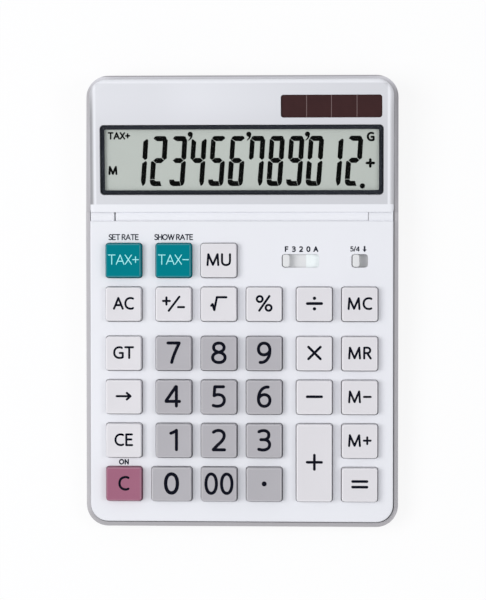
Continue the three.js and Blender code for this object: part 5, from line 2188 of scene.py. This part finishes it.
@dataclass(frozen=True)
class Inside:
    """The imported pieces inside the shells, which keep their shape and get their finishes."""

    finishes: tuple[tuple[Finish, tuple[str, ...]], ...] = (
        (MAT_RUBBER, ("rubber_key_mat",)),
        (BOARD_GREEN, ("main_board", "display_board")),
        (FOOT_RUBBER, ("zebra_connector",)),
        (RIBBON_AMBER, ("display_ribbon",)),
        (STEEL, ("battery_cell", "battery_contact_plus", "battery_contact_minus",
                 "hinge_pin_left", "hinge_pin_right")),
    )

    def build(self) -> None:
        """Finishes each of them."""
        for finish, nodes in self.finishes:
            for node in nodes:
                refinish(node, finish)


# Studio


@dataclass(frozen=True)
class Studio:
    """A white table and world, two soft lamps at the sides, and the photograph's camera."""

    picture_height: float = 600.0
    focal_pixels: float = 2287.19
    camera_place: tuple[float, float, float] = (44.304, -8.584, 956.371)
    camera_turn: tuple[float, float, float] = (-0.0096, -0.0464, -0.0010)
    camera_range: tuple[float, float] = (0.05, 20.0)
    sensor_height: float = 24.0
    lamps: tuple[tuple[str, tuple[float, float, float], float, float], ...] = (
        ("left_lamp", (-770.0, 0.0, 1100.0), 900.0, 9.4),
        ("right_lamp", (800.0, 0.0, 1080.0), 500.0, 3.2),
    )
    ambient: float = 0.57
    ambient_colour: Colour = (0.965, 0.975, 1.0, 1.0)
    table_size: float = 4000.0
    table_drop: float = 0.05

    def build(self) -> None:
        """Sets the scene around the calculator."""
        self.build_camera()
        self.build_lamps()
        self.build_world()
        self.build_table()
        bpy.context.scene.view_settings.view_transform = "Standard"

    def build_camera(self) -> None:
        """Places the camera as it was fitted to the photograph."""
        data = bpy.data.cameras.new("photo_camera")
        data.sensor_fit, data.sensor_height = "VERTICAL", self.sensor_height
        data.lens = self.focal_pixels / self.picture_height * self.sensor_height
        data.clip_start, data.clip_end = self.camera_range
        turns = [Matrix.Rotation(turn, 4, axis) for turn, axis in zip(self.camera_turn, "XYZ")]
        place = Matrix.Translation(Vector(self.camera_place) * MM)
        camera = linked("photo_camera", data)
        camera.matrix_world = place @ (turns[2] @ turns[1] @ turns[0]).transposed()
        bpy.context.scene.camera = camera

    def build_lamps(self) -> None:
        """Hangs a strong soft lamp on the left and a weak one on the right."""
        for name, place, size, watts in self.lamps:
            data = bpy.data.lights.new(name, "AREA")
            data.shape, data.size, data.energy = "DISK", size * MM, watts
            lamp = linked(name, data)
            lamp.location = Vector(place) * MM
            lamp.rotation_euler = (-lamp.location).to_track_quat("-Z", "Y").to_euler()

    def build_world(self) -> None:
        """Lights everything evenly, and shows white behind the object."""
        world = bpy.data.worlds.new("studio_world")
        world.use_nodes = True
        bpy.context.scene.world = world
        graph = Graph(world.node_tree)
        ambient = shaded(self.ambient_colour, self.ambient)
        sockets = {"Color": graph.blend(graph.seen_directly(), ambient, WHITE), "Strength": 1.0}
        shader = graph.wire("ShaderNodeBackground", 0, sockets)
        graph.node("ShaderNodeOutputWorld", {"Surface": shader})

    def build_table(self) -> None:
        """Lays the white table just under the feet."""
        form, lowered = Form(), Matrix.Translation((0, 0, -self.table_drop * MM))
        size = self.table_size / 2 * MM
        bmesh.ops.create_grid(form.mesh, x_segments=1, y_segments=1, size=size, matrix=lowered)
        mesh = form.as_mesh("white_table")
        mesh.materials.append(TABLE_WHITE.material())
        linked("white_table", mesh)


def main() -> None:
    """Builds the calculator's pieces in order."""
    logging.basicConfig(level=logging.INFO, format="%(name)s %(message)s")
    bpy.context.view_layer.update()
    caps = KeyCaps()
    Studio().build()
    TrayCase().build()
    KeyboardCover().build(caps)
    caps.build()
    Selectors().build()
    DisplayHead().build()
    Inside().build()


if __name__ == "__main__":
    main()
